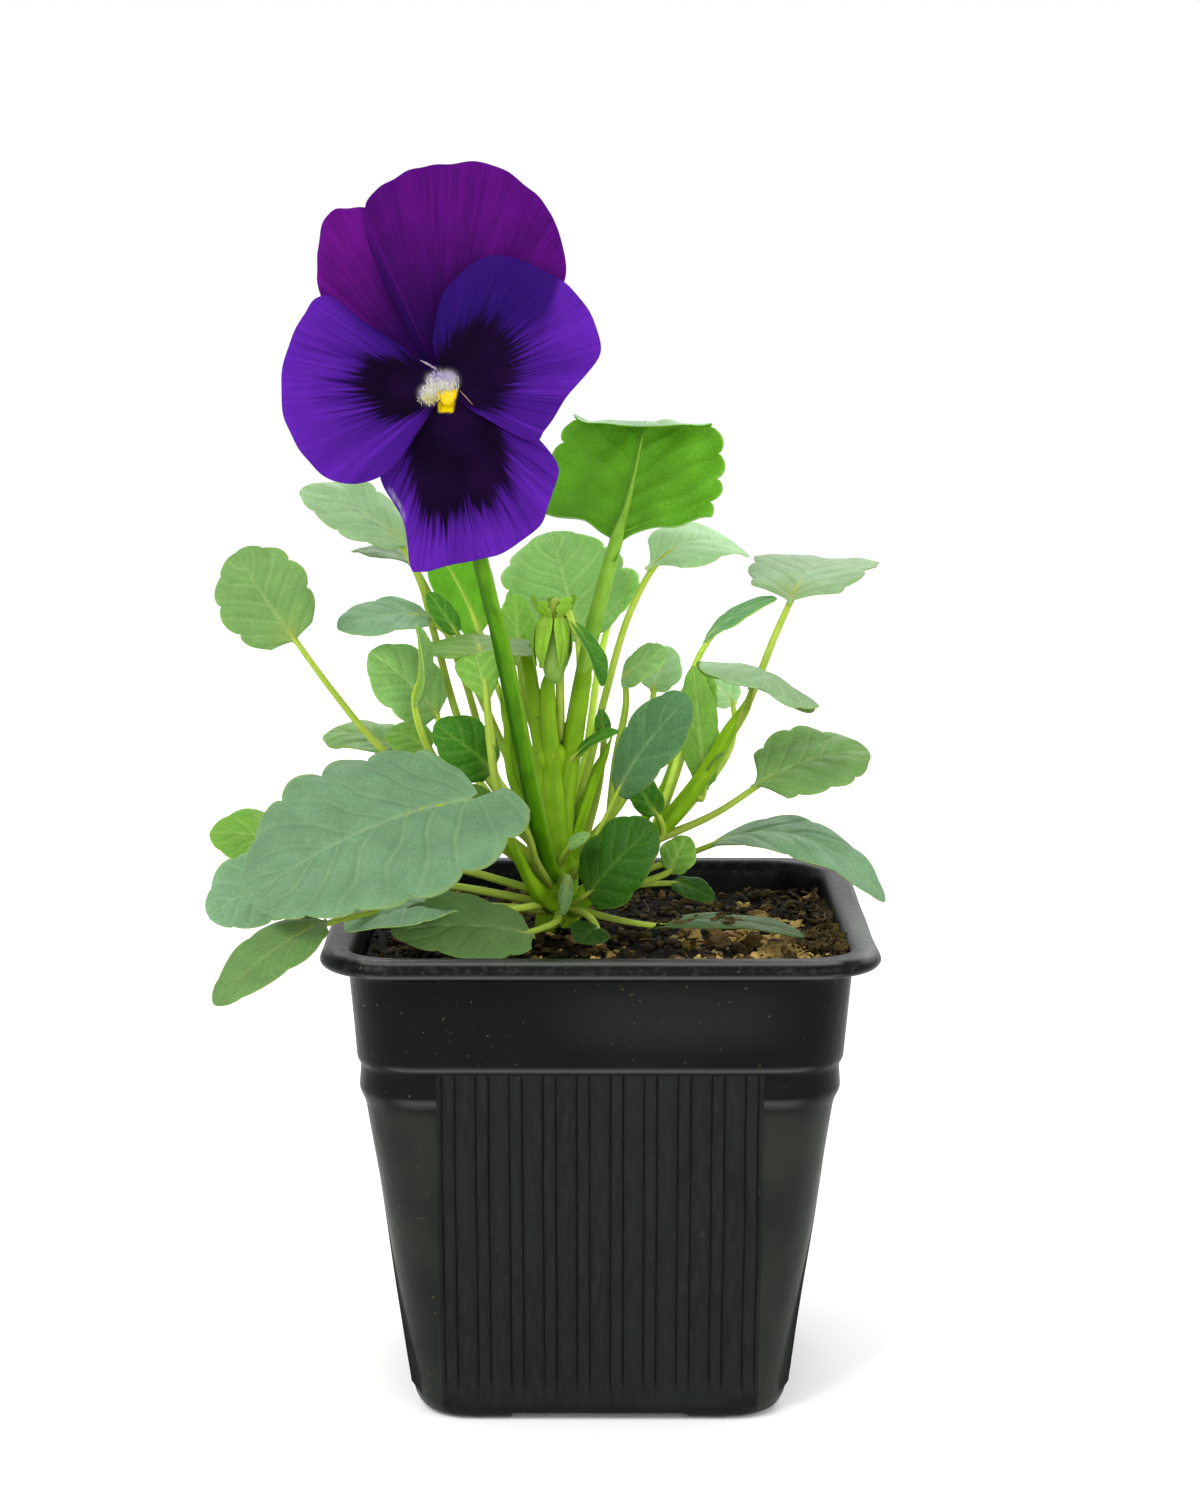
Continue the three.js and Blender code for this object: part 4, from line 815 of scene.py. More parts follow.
# ---------------------------------------------------------------- flower
FLOWER_CENTRE = (-27.9, -25, 188.2)
FLOWER_FACING = unit(np.array((0.05, -1, 0.06)))
CLAW_RADIUS = 0.9        # where the petals' feet stand round the eye
PETALS = [
    # margin: right and up from the eye. blotch: how far the dark marking reaches, by angle.
    # backing: a line; above it another petal lies behind, and this one is painted darker there as shade.
    dict(name="petal_upper_left", slot="petal_magenta", skin="magenta", layer=-3.6, claw=(150, 100),
         phase=0.4, frill=0.9, spokes=70, blotch=[], backing=[],
         margin=[(-15.5, 7.5), (-22.3, 17.4), (-22.8, 24.6), (-20.7, 32.7), (-14.2, 33.3), (-7, 33), (0, 30),
                 (4, 22)]),
    dict(name="petal_upper_right", slot="petal_magenta", skin="plum", layer=-2.4, claw=(115, 50), phase=1.9,
         frill=0.9, spokes=90, blotch=[], backing=[],
         margin=[(-9.7, 16.5), (-13.7, 27.3), (-14, 33.8), (-10.4, 37.4), (-5.2, 40.6), (1, 41.2), (9, 41.2),
                 (15.5, 37), (19.6, 31.5), (22.1, 21.6), (17.5, 11.5)]),
    dict(name="petal_lower", slot="petal_violet", skin="violet", layer=-1.2, claw=(215, 335), phase=0.9,
         frill=0.8, spokes=85,
         blotch=[(215, 3.5), (225, 4.1), (228, 9), (237, 12.4), (247, 15.9), (253, 19.3), (258, 21.7),
                 (268, 23.5), (282, 20), (291, 22.2), (300, 20.1), (311, 17.2), (322, 13.5), (330, 9.9),
                 (339, 5), (350, 4)],
         backing=[],
         margin=[(-9, -5.5), (-11.9, -14.5), (-7.7, -23.4), (-6.5, -31.1), (-4.1, -32.2), (3.1, -30.8),
                 (9.7, -29), (16.9, -24.1), (19.2, -18.7), (20.4, -13.5), (17.2, -8.6), (10, -2)]),
    dict(name="petal_side_left", slot="petal_violet", skin="violet", layer=0, claw=(125, 228), phase=2.6,
         frill=0.7, spokes=80,
         blotch=[(121, 7.4), (144, 10.8), (158, 15.8), (174, 16.5), (178, 15.3), (200, 12.8), (207, 11),
                 (215, 6), (225, 4.4)],
         backing=[(-22.5, 21), (-19, 15.5), (-15, 11), (-8, 6), (0, 4)],
         margin=[(-6.5, 7.4), (-15.3, 13.5), (-21, 17.4), (-25.2, 14.4), (-28.8, 6.1), (-29, -4.1),
                 (-25.4, -11.5), (-19.2, -16), (-11.2, -14.7), (-4.6, -6.4)]),
    dict(name="petal_side_right", slot="petal_violet", skin="violet", layer=0, claw=(105, -35), phase=4.1,
         frill=0.7, spokes=95,
         blotch=[(-60, 3.5), (-30, 4.7), (-25, 8.1), (-10, 10.2), (25, 14.7), (45, 15.8), (63, 15), (95, 8),
                 (115, 6)],
         backing=[(-5, 4), (0, 7), (10, 9.5), (17.5, 11.5), (19, 14), (21, 20), (22, 26)],
         margin=[(-2.2, 9.2), (0, 18), (8.3, 24.5), (18.5, 21.8), (25.2, 15.8), (28.2, 7.2), (22.1, -0.5),
                 (18, -6.8), (15.5, -8.8), (6.5, -4.2)]),
]
# a painted glint: pale spots along the lower petal's left edge, where its margin rolls over
EDGE_GLINT = [(-9.9, -17.6), (-9.5, -18.4), (-9.2, -19), (-8.6, -19.8), (-8.2, -20.5), (-7.8, -21.6),
             (-7.7, -22.5)]
# where the throat's white hairs grow, how far they spread, how many, and where they lean
BEARD_TUFTS = [((-3.0, -0.3), (1.4, 1.6), 260, (0.7, -0.7)), ((0.4, 2.0), (1.7, 1.4), 260, (0.1, -1)),
               ((-1.6, 2.4), (1.5, 1.5), 200, (0.4, -1))]
THROAT_DISCS = [((-2.9, -0.2), 1.7), ((0.5, 2.1), 1.8), ((-1.4, 2.2), 1.8)]
EYE_THREADS = [([(-4.4, 5.8, 0.35), (-3.0, 5.1, 0.4), (-1.4, 4.1, 0.35)], 0.2),
               ([(2.6, 0.4, 0.4), (3.4, -0.4, 0.35), (5.0, -2.2, 0.3)], 0.1)]


def flower_point(a, b, depth):
    """A point right, up and forward of the bloom's eye, as the bloom is seen from the front."""
    right = unit(np.cross((0, 0, 1), FLOWER_FACING))
    up = np.cross(FLOWER_FACING, right)
    a, b, depth = (np.asarray(part, float)[..., None] for part in np.broadcast_arrays(a, b, depth))
    return np.array(FLOWER_CENTRE) + a * right + b * up + depth * FLOWER_FACING


def face_depth(a, b):
    """The bloom's face bends back towards its rim, unevenly round it."""
    reach = np.hypot(a, b) / 40
    return -3.5 * reach**2 + 1.1 * reach**2 * np.sin(7 * np.arctan2(b, a) + 1)


def margin_point(margin, along):
    """A point of the smooth margin: along runs from 0 at its first point to 1 at its last."""
    p = np.array(margin, float)
    place = np.clip(along, 0, 1) * (len(p) - 1)
    k = np.minimum(place.astype(int), len(p) - 2)
    before, start, end, after = p[np.maximum(k - 1, 0)], p[k], p[k + 1], p[np.minimum(k + 2, len(p) - 1)]
    return curve((place - k)[..., None], start, (end - before) / 2, end, (after - start) / 2)


def waves(along, count, phase=0.0):
    return np.sin(math.tau * count * along + phase)


def petal_grid(petal, rows, columns):
    """Points from the petal's foot to its rim and along it, nicked, frilled and crimped."""
    t, along = np.meshgrid(np.linspace(0, 1, rows), np.linspace(0, 1, columns), indexing="ij")
    start, end = np.radians(petal["claw"])
    turn = start + (end - start) * along
    foot = CLAW_RADIUS * np.stack([np.cos(turn), np.sin(turn)], -1)
    phase = petal["phase"]
    nick = 0.006 * waves(along, 3.7, phase) + 0.003 * waves(along, 11.3)
    rim = margin_point(petal["margin"], along) * (1 + nick * np.sin(math.pi * along) ** 0.5)[..., None]
    a, b = np.moveaxis(foot + (rim - foot) * t[..., None], -1, 0)
    frill = t**3 * petal["frill"] * (waves(along, 3.1, phase) + 0.4 * waves(along, 7.3, 2))
    crimp = 0.05 * t * waves(along, 38)
    depth = petal["layer"] + face_depth(a, b) + frill + crimp + 0.3 * np.sin(math.pi * t)
    return t, along, a, b, flower_point(a, b, depth)


def blotch_edge(petal, a, b):
    """How far out along each spoke the dark blotch reaches."""
    angles, radii = np.array(petal["blotch"], float).T
    turn = np.degrees(np.arctan2(b, a))
    turn = np.where(turn < angles[0] - 60, turn + 360, turn)
    return np.interp(turn, angles, radii)


def soft_disc(a, b, centre, radius, power=4):
    return hill(np.hypot(a - centre[0], b - centre[1]), radius, power)


def build_petal(petal):
    t, along, a, b, grid = petal_grid(petal, 90, 150)
    normal = unit(np.cross(np.gradient(grid, axis=0), np.gradient(grid, axis=1)))
    normal *= np.sign(np.sum(normal * FLOWER_FACING, -1, keepdims=True))
    thick = normal * (PETAL_HALF * (1 - 0.8 * t**10))[..., None]
    reach = np.hypot(a, b)
    backed = 0.0
    # painted shade where another petal lies behind this one
    if petal["backing"]:
        line_a, line_b = np.array(petal["backing"], float).T
        backed = step(b - np.interp(a, line_a, line_b), -2.5, 3.5)
    # painted shade on the upper right petal near its left edge, along the seam with the upper left petal
    if petal["name"] == "petal_upper_right":
        backed = 0.75 * (1 - step(along, 0.0, 0.3))
    cream = np.maximum.reduce([soft_disc(a, b, centre, radius) for centre, radius in THROAT_DISCS])
    if petal["name"] == "petal_lower":
        # the lower petal also takes the painted glint along its left edge
        cream = np.maximum(cream, 0.4 * sum(soft_disc(a, b, spot, 0.35, 2) for spot in EDGE_GLINT))
    fall = (0.7 - b) / 4.2
    gold = step(1.9 - 0.55 * fall - np.abs(a - 0.45 + 0.36 * fall), -0.15, 0.25)
    shape = Shape()
    add_sheet(shape, grid + thick, grid - thick, spoke=along * petal["spokes"], reach=reach,
              outward=np.clip(reach / 38, 0, 1), backed=backed, cream=cream,
              beyond=reach - blotch_edge(petal, a, b) if petal["blotch"] else 99.0,
              gold=gold * (1 - step(np.abs(fall - 0.5), 0.45, 0.53)))
    if petal["name"] == "petal_lower":
        spur = flower_point(0.4, np.array([-2.6, -4.6, -4.8, -4.4]), np.array([-2.6, -4.0, -7.0, -10.2]))
        tube(shape, smooth_path(spur, 24), np.linspace(0.9, 1.1, 24), 16, beyond=99.0, outward=0.6)
    shape.piece(petal["name"], [petal_skins[petal["skin"]]], petal["slot"], petal["name"])


def hair(shape, root, lean, length, radius, skin=0, sides=5, **values):
    """A short tapered hair that leaves along lean and droops a little."""
    lean = unit(np.array(lean, float))
    steps = np.linspace(0, 1, 5)[:, None]
    path = np.asarray(root) + lean * length * steps + np.array([0, 0, -0.25]) * length * steps**2
    tube(shape, path, radius * np.array([1, 0.9, 0.75, 0.5, 0.2]), sides, skin, **values)


def build_eye():
    """The column that stands between the petals' feet, and its rounded head."""
    shape = Shape()
    tube(shape, flower_point(0, 0, np.linspace(-6.2, -0.4, 12)), 0.7, 18, skin=1)
    ball(shape, flower_point(0.45, -0.7, -0.15), 1.5, (1.0, 0.3, 1.0), wobble=0.05, seed=4)
    shape.piece("flower_eye", [eye_skins["pistil"], stalks["leafy"]], "flower_eye", "flower_eye")


def build_beard():
    """White hairs on the feet of the two side petals, which close the throat."""
    draw = np.random.default_rng(21)
    shape = Shape()
    for centre, spread, count, inward in BEARD_TUFTS:
        for _ in range(count):
            a = centre[0] + spread[0] * draw.normal() * 0.5
            b = centre[1] + spread[1] * draw.normal() * 0.5
            lean = flower_point(*inward, 0) - flower_point(0, 0, 0)
            lean = lean + 0.25 * draw.normal(size=3) + 0.2 * FLOWER_FACING
            hair(shape, flower_point(a, b, 0.1 + 0.2 * draw.random()), lean, draw.uniform(0.5, 1.0), 0.06,
                 high=0.45 + 0.28 * (b - 0.6))
    shape.piece("flower_beard", [eye_skins["hair"]], "flower_eye")


def build_threads():
    """Two fine threads across the throat."""
    shape = Shape()
    swell = 0.3 + 0.7 * np.sin(np.linspace(0, math.pi, 16))
    for skin, (points, radius) in enumerate(EYE_THREADS):
        tube(shape, smooth_path([flower_point(*point) for point in points], 16), radius * swell, 8, skin)
    shape.piece("flower_threads", [eye_skins["thread"], eye_skins["orange"]], "flower_eye")


def build_flower_stalk():
    """The stalk, hooked behind the bloom, with the receptacle and five sepals with their flaps."""
    shape = Shape()
    hook = [flower_point(*place) for place in ((0.2, 0, -7), (0.3, 2, -9.5), (1.5, 0, -12), (3, -8, -10.5))]
    route = [*hook, (-22, -18, 158), (-18, -18, 141), (-14.5, -15, 123), (-11, -8, 104), (-8, 1, 91)]
    tube(shape, smooth_path(route, 150), np.linspace(1.15, 1.85, 150), 24, ribs=0.12, groove=0.12, dimple=0.1)
    ball(shape, flower_point(0, 0.2, -8), 2.3, wobble=0.08, seed=8, light=1.0)
    for angle in (90, 162, 18, 234, 306):
        reach = np.array([math.cos(math.radians(angle)), math.sin(math.radians(angle))])
        base = flower_point(*(0.5 * reach), -6.8)
        small_blade(shape, base, flower_point(*(15 * reach), -5.0), FLOWER_FACING, 5, taper=(0.4, 0.8),
                    arch=0, fold=6, tooth_depth=0.15)
        small_blade(shape, base, flower_point(*(-2.8 * reach), -9.6), FLOWER_FACING, 3.4, taper=(0.5, 0.3),
                    arch=0, tooth_depth=0.3)
    shape.piece("flower_stalk", [stalks["deep"], blades["bright"]], "flower_stalk", "flower_stalk")


# ---------------------------------------------------------------- bud
def build_bud():
    """A nodding bud on a hooked stalk, with five sepals and the toothed flaps behind them."""
    shape = Shape()
    centre = np.array([-8.6, -9, 139])
    ball(shape, centre, 2.5, (1, 1, 2.35), rows=30, sides=30, wobble=0.05, seed=2, skin=2, light=1.0)
    for k, angle in enumerate((20, 90, 165, 235, 305)):
        out = np.array([math.cos(math.radians(angle)), math.sin(math.radians(angle)), 0])
        base, tip = centre + 1.7 * out + (0, 0, 7.6), centre + 2.9 * out - (0.6, 0, 2.5)
        small_blade(shape, base, tip, out + (0, 0, 0.1), 3.6, taper=(0.4, 0.8), arch=0.1, tooth_depth=0.1)
        flap = base + 2.4 * out + np.array([0, 0, 2.6 if k % 2 else 3.4])
        small_blade(shape, base - (0, 0, 0.6), flap, out - (0, 0, 0.6), 3.6, teeth=3, taper=(0.4, 0.25),
                    arch=0.1, tooth_depth=0.45)
    hook = [(-9, -9, 145), (-8.6, -8.4, 148.6), (-7.4, -6, 147.4), (-7.6, -3.4, 138), (-7.6, 1, 121)]
    tube(shape, smooth_path(hook, 50), np.linspace(0.75, 0.9, 50), 14, ribs=0.08)
    shape.piece("bud", [stalks["pale"], blades["bud"], bud_skin], "bud", "bud")


# ---------------------------------------------------------------- pot
# half width, height and corner radius, up the outside and then down the inside
POT_OUTSIDE = [(31.9, SOLE, 9), (33.8, SOLE + 0.9, 10), (34.9, SOLE + 3, 11), (43, 59.3, 12),
               (44.1, 62.1, 12), (43.8, 66.4, 12), (44.5, STEP_HEIGHT, 12), (46, 84.6, 12),
               (50.3, 85.8, 14), (51, 87, 14), (50.4, 88.5, 14), (49.4, LIP_TOP, 13.5)]
POT_INSIDE = [(47, LIP_TOP, 12), (45.8, 88.4, 11.5), (45.1, 87, 11), (44.9, 84.6, 11), (43.4, 68.4, 11),
              (42.7, 66.8, 11), (43, 62.1, 11), (41.9, 59.9, 11), (34.2, SOLE + 7, 10), (32, SOLE + 4, 9),
              (28, SOLE + 3, 8)]
PANEL_FOOT = (35.2, SOLE + 5)
PANEL_TOP = (44.1, 66.8)
PANEL_HALF = 29.4
PANEL_SLOPE = (PANEL_TOP[0] - PANEL_FOOT[0]) / (PANEL_TOP[1] - PANEL_FOOT[1])
# a rib's flank, its groove and its top: places from the rib's edge, and how far out each lies
RIB_SECTION = ((-0.3, 0.0), (-0.16, -0.32), (-0.02, -0.32), (0.14, 0.16))
CORNER_STEPS = 22


def rounded_profile(points, radius, steps=4):
    """The same outline with each corner eased by a small curve."""
    p = np.array(points, float)
    eased = [p[0]]
    for before, corner, after in zip(p, p[1:], p[2:]):
        back, ahead = before - corner, after - corner
        room = [min(radius / np.linalg.norm(side[:2]), 0.4) for side in (back, ahead)]
        start, end = corner + back * room[0], corner + ahead * room[1]
        for w in np.linspace(0, 1, steps):
            eased.append((1 - w) ** 2 * start + 2 * w * (1 - w) * corner + w**2 * end)
    eased.append(p[-1])
    return np.array(eased)


def split_long(rows, longest):
    """More rows where two neighbours lie far apart, so that the wall can be a little uneven."""
    split = [rows[0]]
    for a, b in zip(rows, rows[1:]):
        count = max(1, math.ceil(np.linalg.norm(b[:2] - a[:2]) / longest))
        split += [a + (b - a) * k / count for k in range(1, count + 1)]
    return np.array(split)


def square_reach(angle, half, radius):
    """How far a rounded square reaches from its centre in a direction."""
    angle = np.minimum(angle, math.pi / 2 - angle)
    centre = half - radius
    flat = half / np.cos(angle)
    rounded = centre * (np.cos(angle) + np.sin(angle)) + np.sqrt(
        np.maximum(radius**2 - centre**2 * (1 - np.sin(2 * angle)), 0))
    return np.where(half * np.tan(angle) <= centre, flat, rounded)


def wall_out(x, half, radius):
    """How far out the wall is, at x along one of the four faces."""
    centre = half - radius
    over = np.maximum(np.abs(x) - centre, 0)
    return centre + np.sqrt(np.maximum(radius**2 - over**2, 0))


def panel_out(z):
    """How far out the ribbed panel lies at a height."""
    return PANEL_FOOT[0] + (z - PANEL_FOOT[1]) * PANEL_SLOPE


def panel_columns():
    """Places along a face, and how far each rib's flank, top and groove lie out from the panel; the grooves
    are painted dark as shade.
    """
    columns = [(-PANEL_HALF - 0.3, None), (-PANEL_HALF, 0.0)]
    for rib in range(RIB_COUNT):
        middle = (rib - (RIB_COUNT - 1) / 2) * RIB_PITCH
        columns += [(middle - RIB_EDGE + x, out) for x, out in RIB_SECTION]
        columns += [(middle + RIB_EDGE - x, out) for x, out in reversed(RIB_SECTION)]
    return columns + [(PANEL_HALF, 0.0), (PANEL_HALF + 0.3, None)]


def pot_rings():
    """Rings of points up the outside of the pot and down its inside, each with four faces and corners."""
    outside = split_long(rounded_profile(POT_OUTSIDE, 0.7), 2.5)
    inside = split_long(rounded_profile(POT_INSIDE, 0.6), 4.0)
    columns = panel_columns()
    x = np.array([place for place, _ in columns])
    out = np.array([relief or 0.0 for _, relief in columns])
    on_panel = np.array([relief is not None for _, relief in columns])
    rings = []
    for k, (half, z, radius) in enumerate([*outside, *inside]):
        wall = wall_out(x, half, radius)
        if k < len(outside) and PANEL_FOOT[1] <= z <= PANEL_TOP[1]:
            fade = np.clip((z - PANEL_FOOT[1]) / 4, 0, 1)
            wall = np.where(on_panel, panel_out(z) + out * fade, wall)
        first = math.atan2(x[-1], wall[-1])
        angle = np.linspace(first, math.pi / 2 - first, CORNER_STEPS + 2)[1:-1]
        corner = square_reach(angle, half, radius)
        face = np.concatenate([np.stack([wall, x], 1),
                               np.stack([corner * np.cos(angle), corner * np.sin(angle)], 1)])
        ring = np.vstack([face @ np.array([[cos, sin], [-sin, cos]])
                          for cos, sin in ((1, 0), (0, 1), (-1, 0), (0, -1))])
        rings.append(np.hstack([ring, np.full((len(ring), 1), z)]))
    return np.array(rings)


def block(low, high):
    shape = Shape()
    corners = [(x, y, z) for x in (low[0], high[0]) for y in (low[1], high[1]) for z in (low[2], high[2])]
    faces = np.array([(0, 1, 3, 2), (4, 6, 7, 5), (0, 4, 5, 1), (2, 3, 7, 6), (0, 2, 6, 4), (1, 5, 7, 3)])
    shape.add(corners, [faces])
    return shape


def upright_rod(x, y, radius, bottom, top, sides=48):
    shape = Shape()
    turn = turns(sides)
    rings = [np.stack([x + radius * np.cos(turn), y + radius * np.sin(turn), np.full(sides, z)], 1)
             for z in (bottom, top)]
    shape.add(np.vstack([*rings, (x, y, bottom), (x, y, top)]), tube_faces(2, sides))
    return shape


def cut(piece, shape, operation="DIFFERENCE"):
    """Take a shape away from the piece, or join it on."""
    modifier = piece.modifiers.new("cut", "BOOLEAN")
    modifier.operation = operation
    modifier.object = add_object("cutter", shape.mesh("cutter"))
    modifier.solver = "MANIFOLD"
    shown = piece.evaluated_get(bpy.context.evaluated_depsgraph_get())
    mesh = bpy.data.meshes.new_from_object(shown)
    bpy.data.objects.remove(modifier.object)
    piece.modifiers.clear()
    piece.data = mesh


def build_pot():
    """The slightly slumped shell, then the channels between its feet, its centre pad and drain holes."""
    shape = Shape()
    rings = pot_rings()
    slump = 0.12 * soft_noise(rings, 40.0, 6)
    rings[..., :2] *= (1 + slump / 45)[..., None]
    bottom, inner = (0, 0, POT_OUTSIDE[0][1]), (0, 0, POT_INSIDE[-1][1])
    shape.add(np.vstack([rings.reshape(-1, 3), bottom, inner]), tube_faces(*rings.shape[:2]))
    pot = shape.piece("pot", [pot_skin()], "pot_plastic", "pot")
    far, half = 1.2 * LIP_TOP, FOOT_SPACING / 2
    for x, y in ((half, far), (far, half)):
        cut(pot, block((-x, -y, SOLE - 3), (x, y, SOLE + FOOT_LIFT)))
    cut(pot, upright_rod(0, 0, PAD_RADIUS, SOLE, SOLE + FOOT_LIFT + 0.5), "UNION")
    for x, y in ((DRAIN_REACH, 0), (0, DRAIN_REACH), (-DRAIN_REACH, 0), (0, -DRAIN_REACH)):
        cut(pot, upright_rod(x, y, DRAIN_RADIUS, SOLE - 2, SOLE + 5))
    paint_pot(pot.data)


def paint_pot(mesh):
    """Where the pot is panel, lip, corner or muddy, where painted shade darkens its grooves, and where
    painted highlights lie on its ridges, its lip and its band, as values at its points.
    """
    points = np.zeros(len(mesh.vertices) * 3)
    mesh.vertices.foreach_get("co", points)
    x, y, z = (points.reshape(-1, 3) * 1000 + (0, 0, SOLE)).T
    turned = np.abs(x) > np.abs(y)
    across, out = np.where(turned, y, x), np.abs(np.where(turned, x, y))
    sunk = panel_out(z) - out
    aside = np.abs(across)
    foot, top = PANEL_FOOT[1], PANEL_TOP[1]
    panel = step(z, foot - 6, foot) * (1 - step(z, top - 0.1, top + 0.2))
    panel = panel * (aside <= PANEL_HALF + 0.01) * (sunk < 0.9)
    outside = step(out, 42, 44)
    # painted highlights along the step, the ring and the two edges of the lip
    edge_highlights = (hill(z - STEP_HEIGHT + 0.1, 0.35) + 0.8 * hill(z - 61.6, 0.4) * (aside > PANEL_HALF)
              + 1.3 * hill(z - 86.2, 0.35) * (out > 49.5) + 1.6 * hill(z - 88.7, 0.22) * (out > 48.6))
    values = {
        "panel": panel,
        # painted shade in the ribs' grooves
        "groove_shade": panel * step(sunk, 0.05, 0.3),
        "lip": step(z, 85.0, 86.5),
        "edge_highlight": outside * edge_highlights,
        # painted reflection: a light grey sheen on the right side of the lip
        "painted_lip_sheen": step(z, 87.4, 88.7) * step(x, 45.5, 48.5) * (1 - step(y, -22, 14)),
        "muddy": np.clip(0.15 + 0.6 * step(z, 60, 88) + 0.4 * (x < -30), 0, 1),
        "corner": step(aside, PANEL_HALF - 0.5, PANEL_HALF + 0.5) * (1 - step(z, 58, 61)) * 0.8,
        # painted highlight: a soft lighter patch on the front of the upper band
        "band_highlight": 0.95 * outside * hill(z - 78, 6, 4) * hill(across - 13.5, 20, 4),
    }
    for name, value in values.items():
        set_values(mesh, name, value)


# ---------------------------------------------------------------- soil
SOIL_SIDES = [(27.5, SOLE + 3.4, 7.5), (33.3, SOLE + 7.3, 9.5), (41.3, 59.5, 10.6), (42.2, 66.5, 10.6),
              (44.1, 82.2, 10.6)]
# where tan grit shows: its place and how far it spreads
GRIT_BEDS = ((30, -34, 12), (34, -14, 9), (20, -6, 6), (32, 8, 6), (-40, -36, 7), (-4, -34, 8))


def soil_height(x, y):
    rough = np.sin(x * 0.31 + 1.3) * np.cos(y * 0.27) + 0.6 * np.sin(x * 0.13 - y * 0.41)
    fine = np.sin(x * 1.1 + y * 0.7) * np.cos(y * 0.9 - x * 0.4)
    mound = 2 * np.exp(-((x - CROWN[0]) ** 2 + (y - CROWN[1]) ** 2) / 150)
    return SOIL_LEVEL + 0.5 * rough + 0.3 * fine + mound


def even_square(half, radius, count):
    angle = turns(count)
    reach = square_reach(np.mod(angle, math.pi / 2), half, radius)
    return np.stack([reach * np.cos(angle), reach * np.sin(angle)], 1)


def build_soil():
    """The soil's block: its sides, then rings that close in over its lumpy top."""
    shape = Shape()
    count, steps = 300, 110
    rings = []
    for half, z, radius in SOIL_SIDES:
        rings.append(np.hstack([even_square(half, radius, count), np.full((count, 1), z)]))
    rim = even_square(SOIL_HALF, SOIL_CORNER, count)
    for k in range(steps):
        flat = rim * (1 - k / steps)
        lumps = 0.5 * soft_noise(flat, 3.2, 31, 12) + 0.28 * soft_noise(flat, 1.3, 32, 12)
        height = soil_height(flat[:, 0], flat[:, 1]) + np.abs(lumps) - 0.7
        rings.append(np.hstack([flat, height[:, None]]))
    low, high = (0, 0, SOIL_SIDES[0][1]), (0, 0, soil_height(0.0, 0.0) - 0.4)
    shape.add(np.vstack([*rings, low, high]), tube_faces(len(rings), count), tone=0.2)
    shape.piece("soil", [earth["peat"]], "peat_soil", "soil")


def add_grain(shape, draw, place, size, stretch, tones=(0.0, 1.0), rows=6, sides=9, wobble=0.42):
    """An irregular grain with a shape and a tone of its own."""
    ball(shape, place, size, stretch, rows, sides, wobble=wobble, seed=int(draw.integers(1 << 30)),
         tone=draw.uniform(*tones))


def scatter_grains(name, count, sizes, skin, seed, where, flatness=0.75, tones=(0.0, 1.0), rows=6, sides=9):
    """Grains lying on the soil, each with its own size, turn, shape and tone."""
    draw = np.random.default_rng(seed)
    shape = Shape()
    made = 0
    while made < count:
        x, y = draw.uniform(-43.2, 43.2, 2)
        if draw.random() > where(x, y) or not grain_fits(x, y):
            continue
        size = draw.uniform(*sizes) * draw.uniform(0.6, 1.0)
        stretch = (1, draw.uniform(0.5, 1.0), draw.uniform(0.45, 1.0) * flatness)
        lift = wall_heap(x, y) * draw.random()
        place = (x, y, soil_height(x, y) + 0.25 * size + lift)
        add_grain(shape, draw, place, size, stretch, tones, rows, sides)
        turn_last(shape, (x, y), draw.uniform(0, math.tau))
        made += 1
    shape.piece(name, [earth[skin]], "peat_soil")


def everywhere(x, y):
    return 1.0


def grit_share(x, y):
    """Tan grit shows in a few places, most of it towards the front right."""
    return 0.05 + max(math.exp(-((x - bx) ** 2 + (y - by) ** 2) / size**2) for bx, by, size in GRIT_BEDS)


def clod_share(x, y):
    return grit_share(x, y) if x > 8 else 0.0


def bark_share(x, y):
    return 0.6


def grain_fits(x, y):
    """Inside the pot's wall and clear of the crown."""
    over = np.hypot(max(abs(x) - 33, 0), max(abs(y) - 33, 0))
    return over < 10.6 and math.hypot(x - CROWN[0], y - CROWN[1]) > CROWN_RADIUS + 0.6


def wall_heap(x, y):
    """Soil is heaped and stuck against the inside of the right wall."""
    return 4.2 * step(x, 38, 43.5) * (0.35 + 0.65 * step(y, -42, -10)) * (1 - step(y, 22, 34))


def turn_last(shape, centre, angle):
    """Turn the part that was added last about an upright axis."""
    points = shape.points[-1]
    offset = points[:, :2] - centre
    cos, sin = math.cos(angle), math.sin(angle)
    points[:, :2] = offset @ np.array([[cos, sin], [-sin, cos]]) + centre


def build_wall_crumbs():
    """Crumbs that stick to the inside of the right wall, up to the lip."""
    draw = np.random.default_rng(33)
    shape = Shape()
    for _ in range(330):
        share = draw.random() ** 0.8
        y = -37 + 58 * share
        high = draw.random() * (1 - 0.55 * share)
        place = (43.4 + 2.6 * high - draw.uniform(0, 1.2), y, SOIL_LEVEL + 0.3 + 5.2 * high)
        size = draw.uniform(0.3, 0.95)
        add_grain(shape, draw, place, size, (1, draw.uniform(0.6, 1.2), draw.uniform(0.5, 1)), (0.1, 1.0))
    shape.piece("soil_wall_crumbs", [earth["crumb"]], "peat_soil")


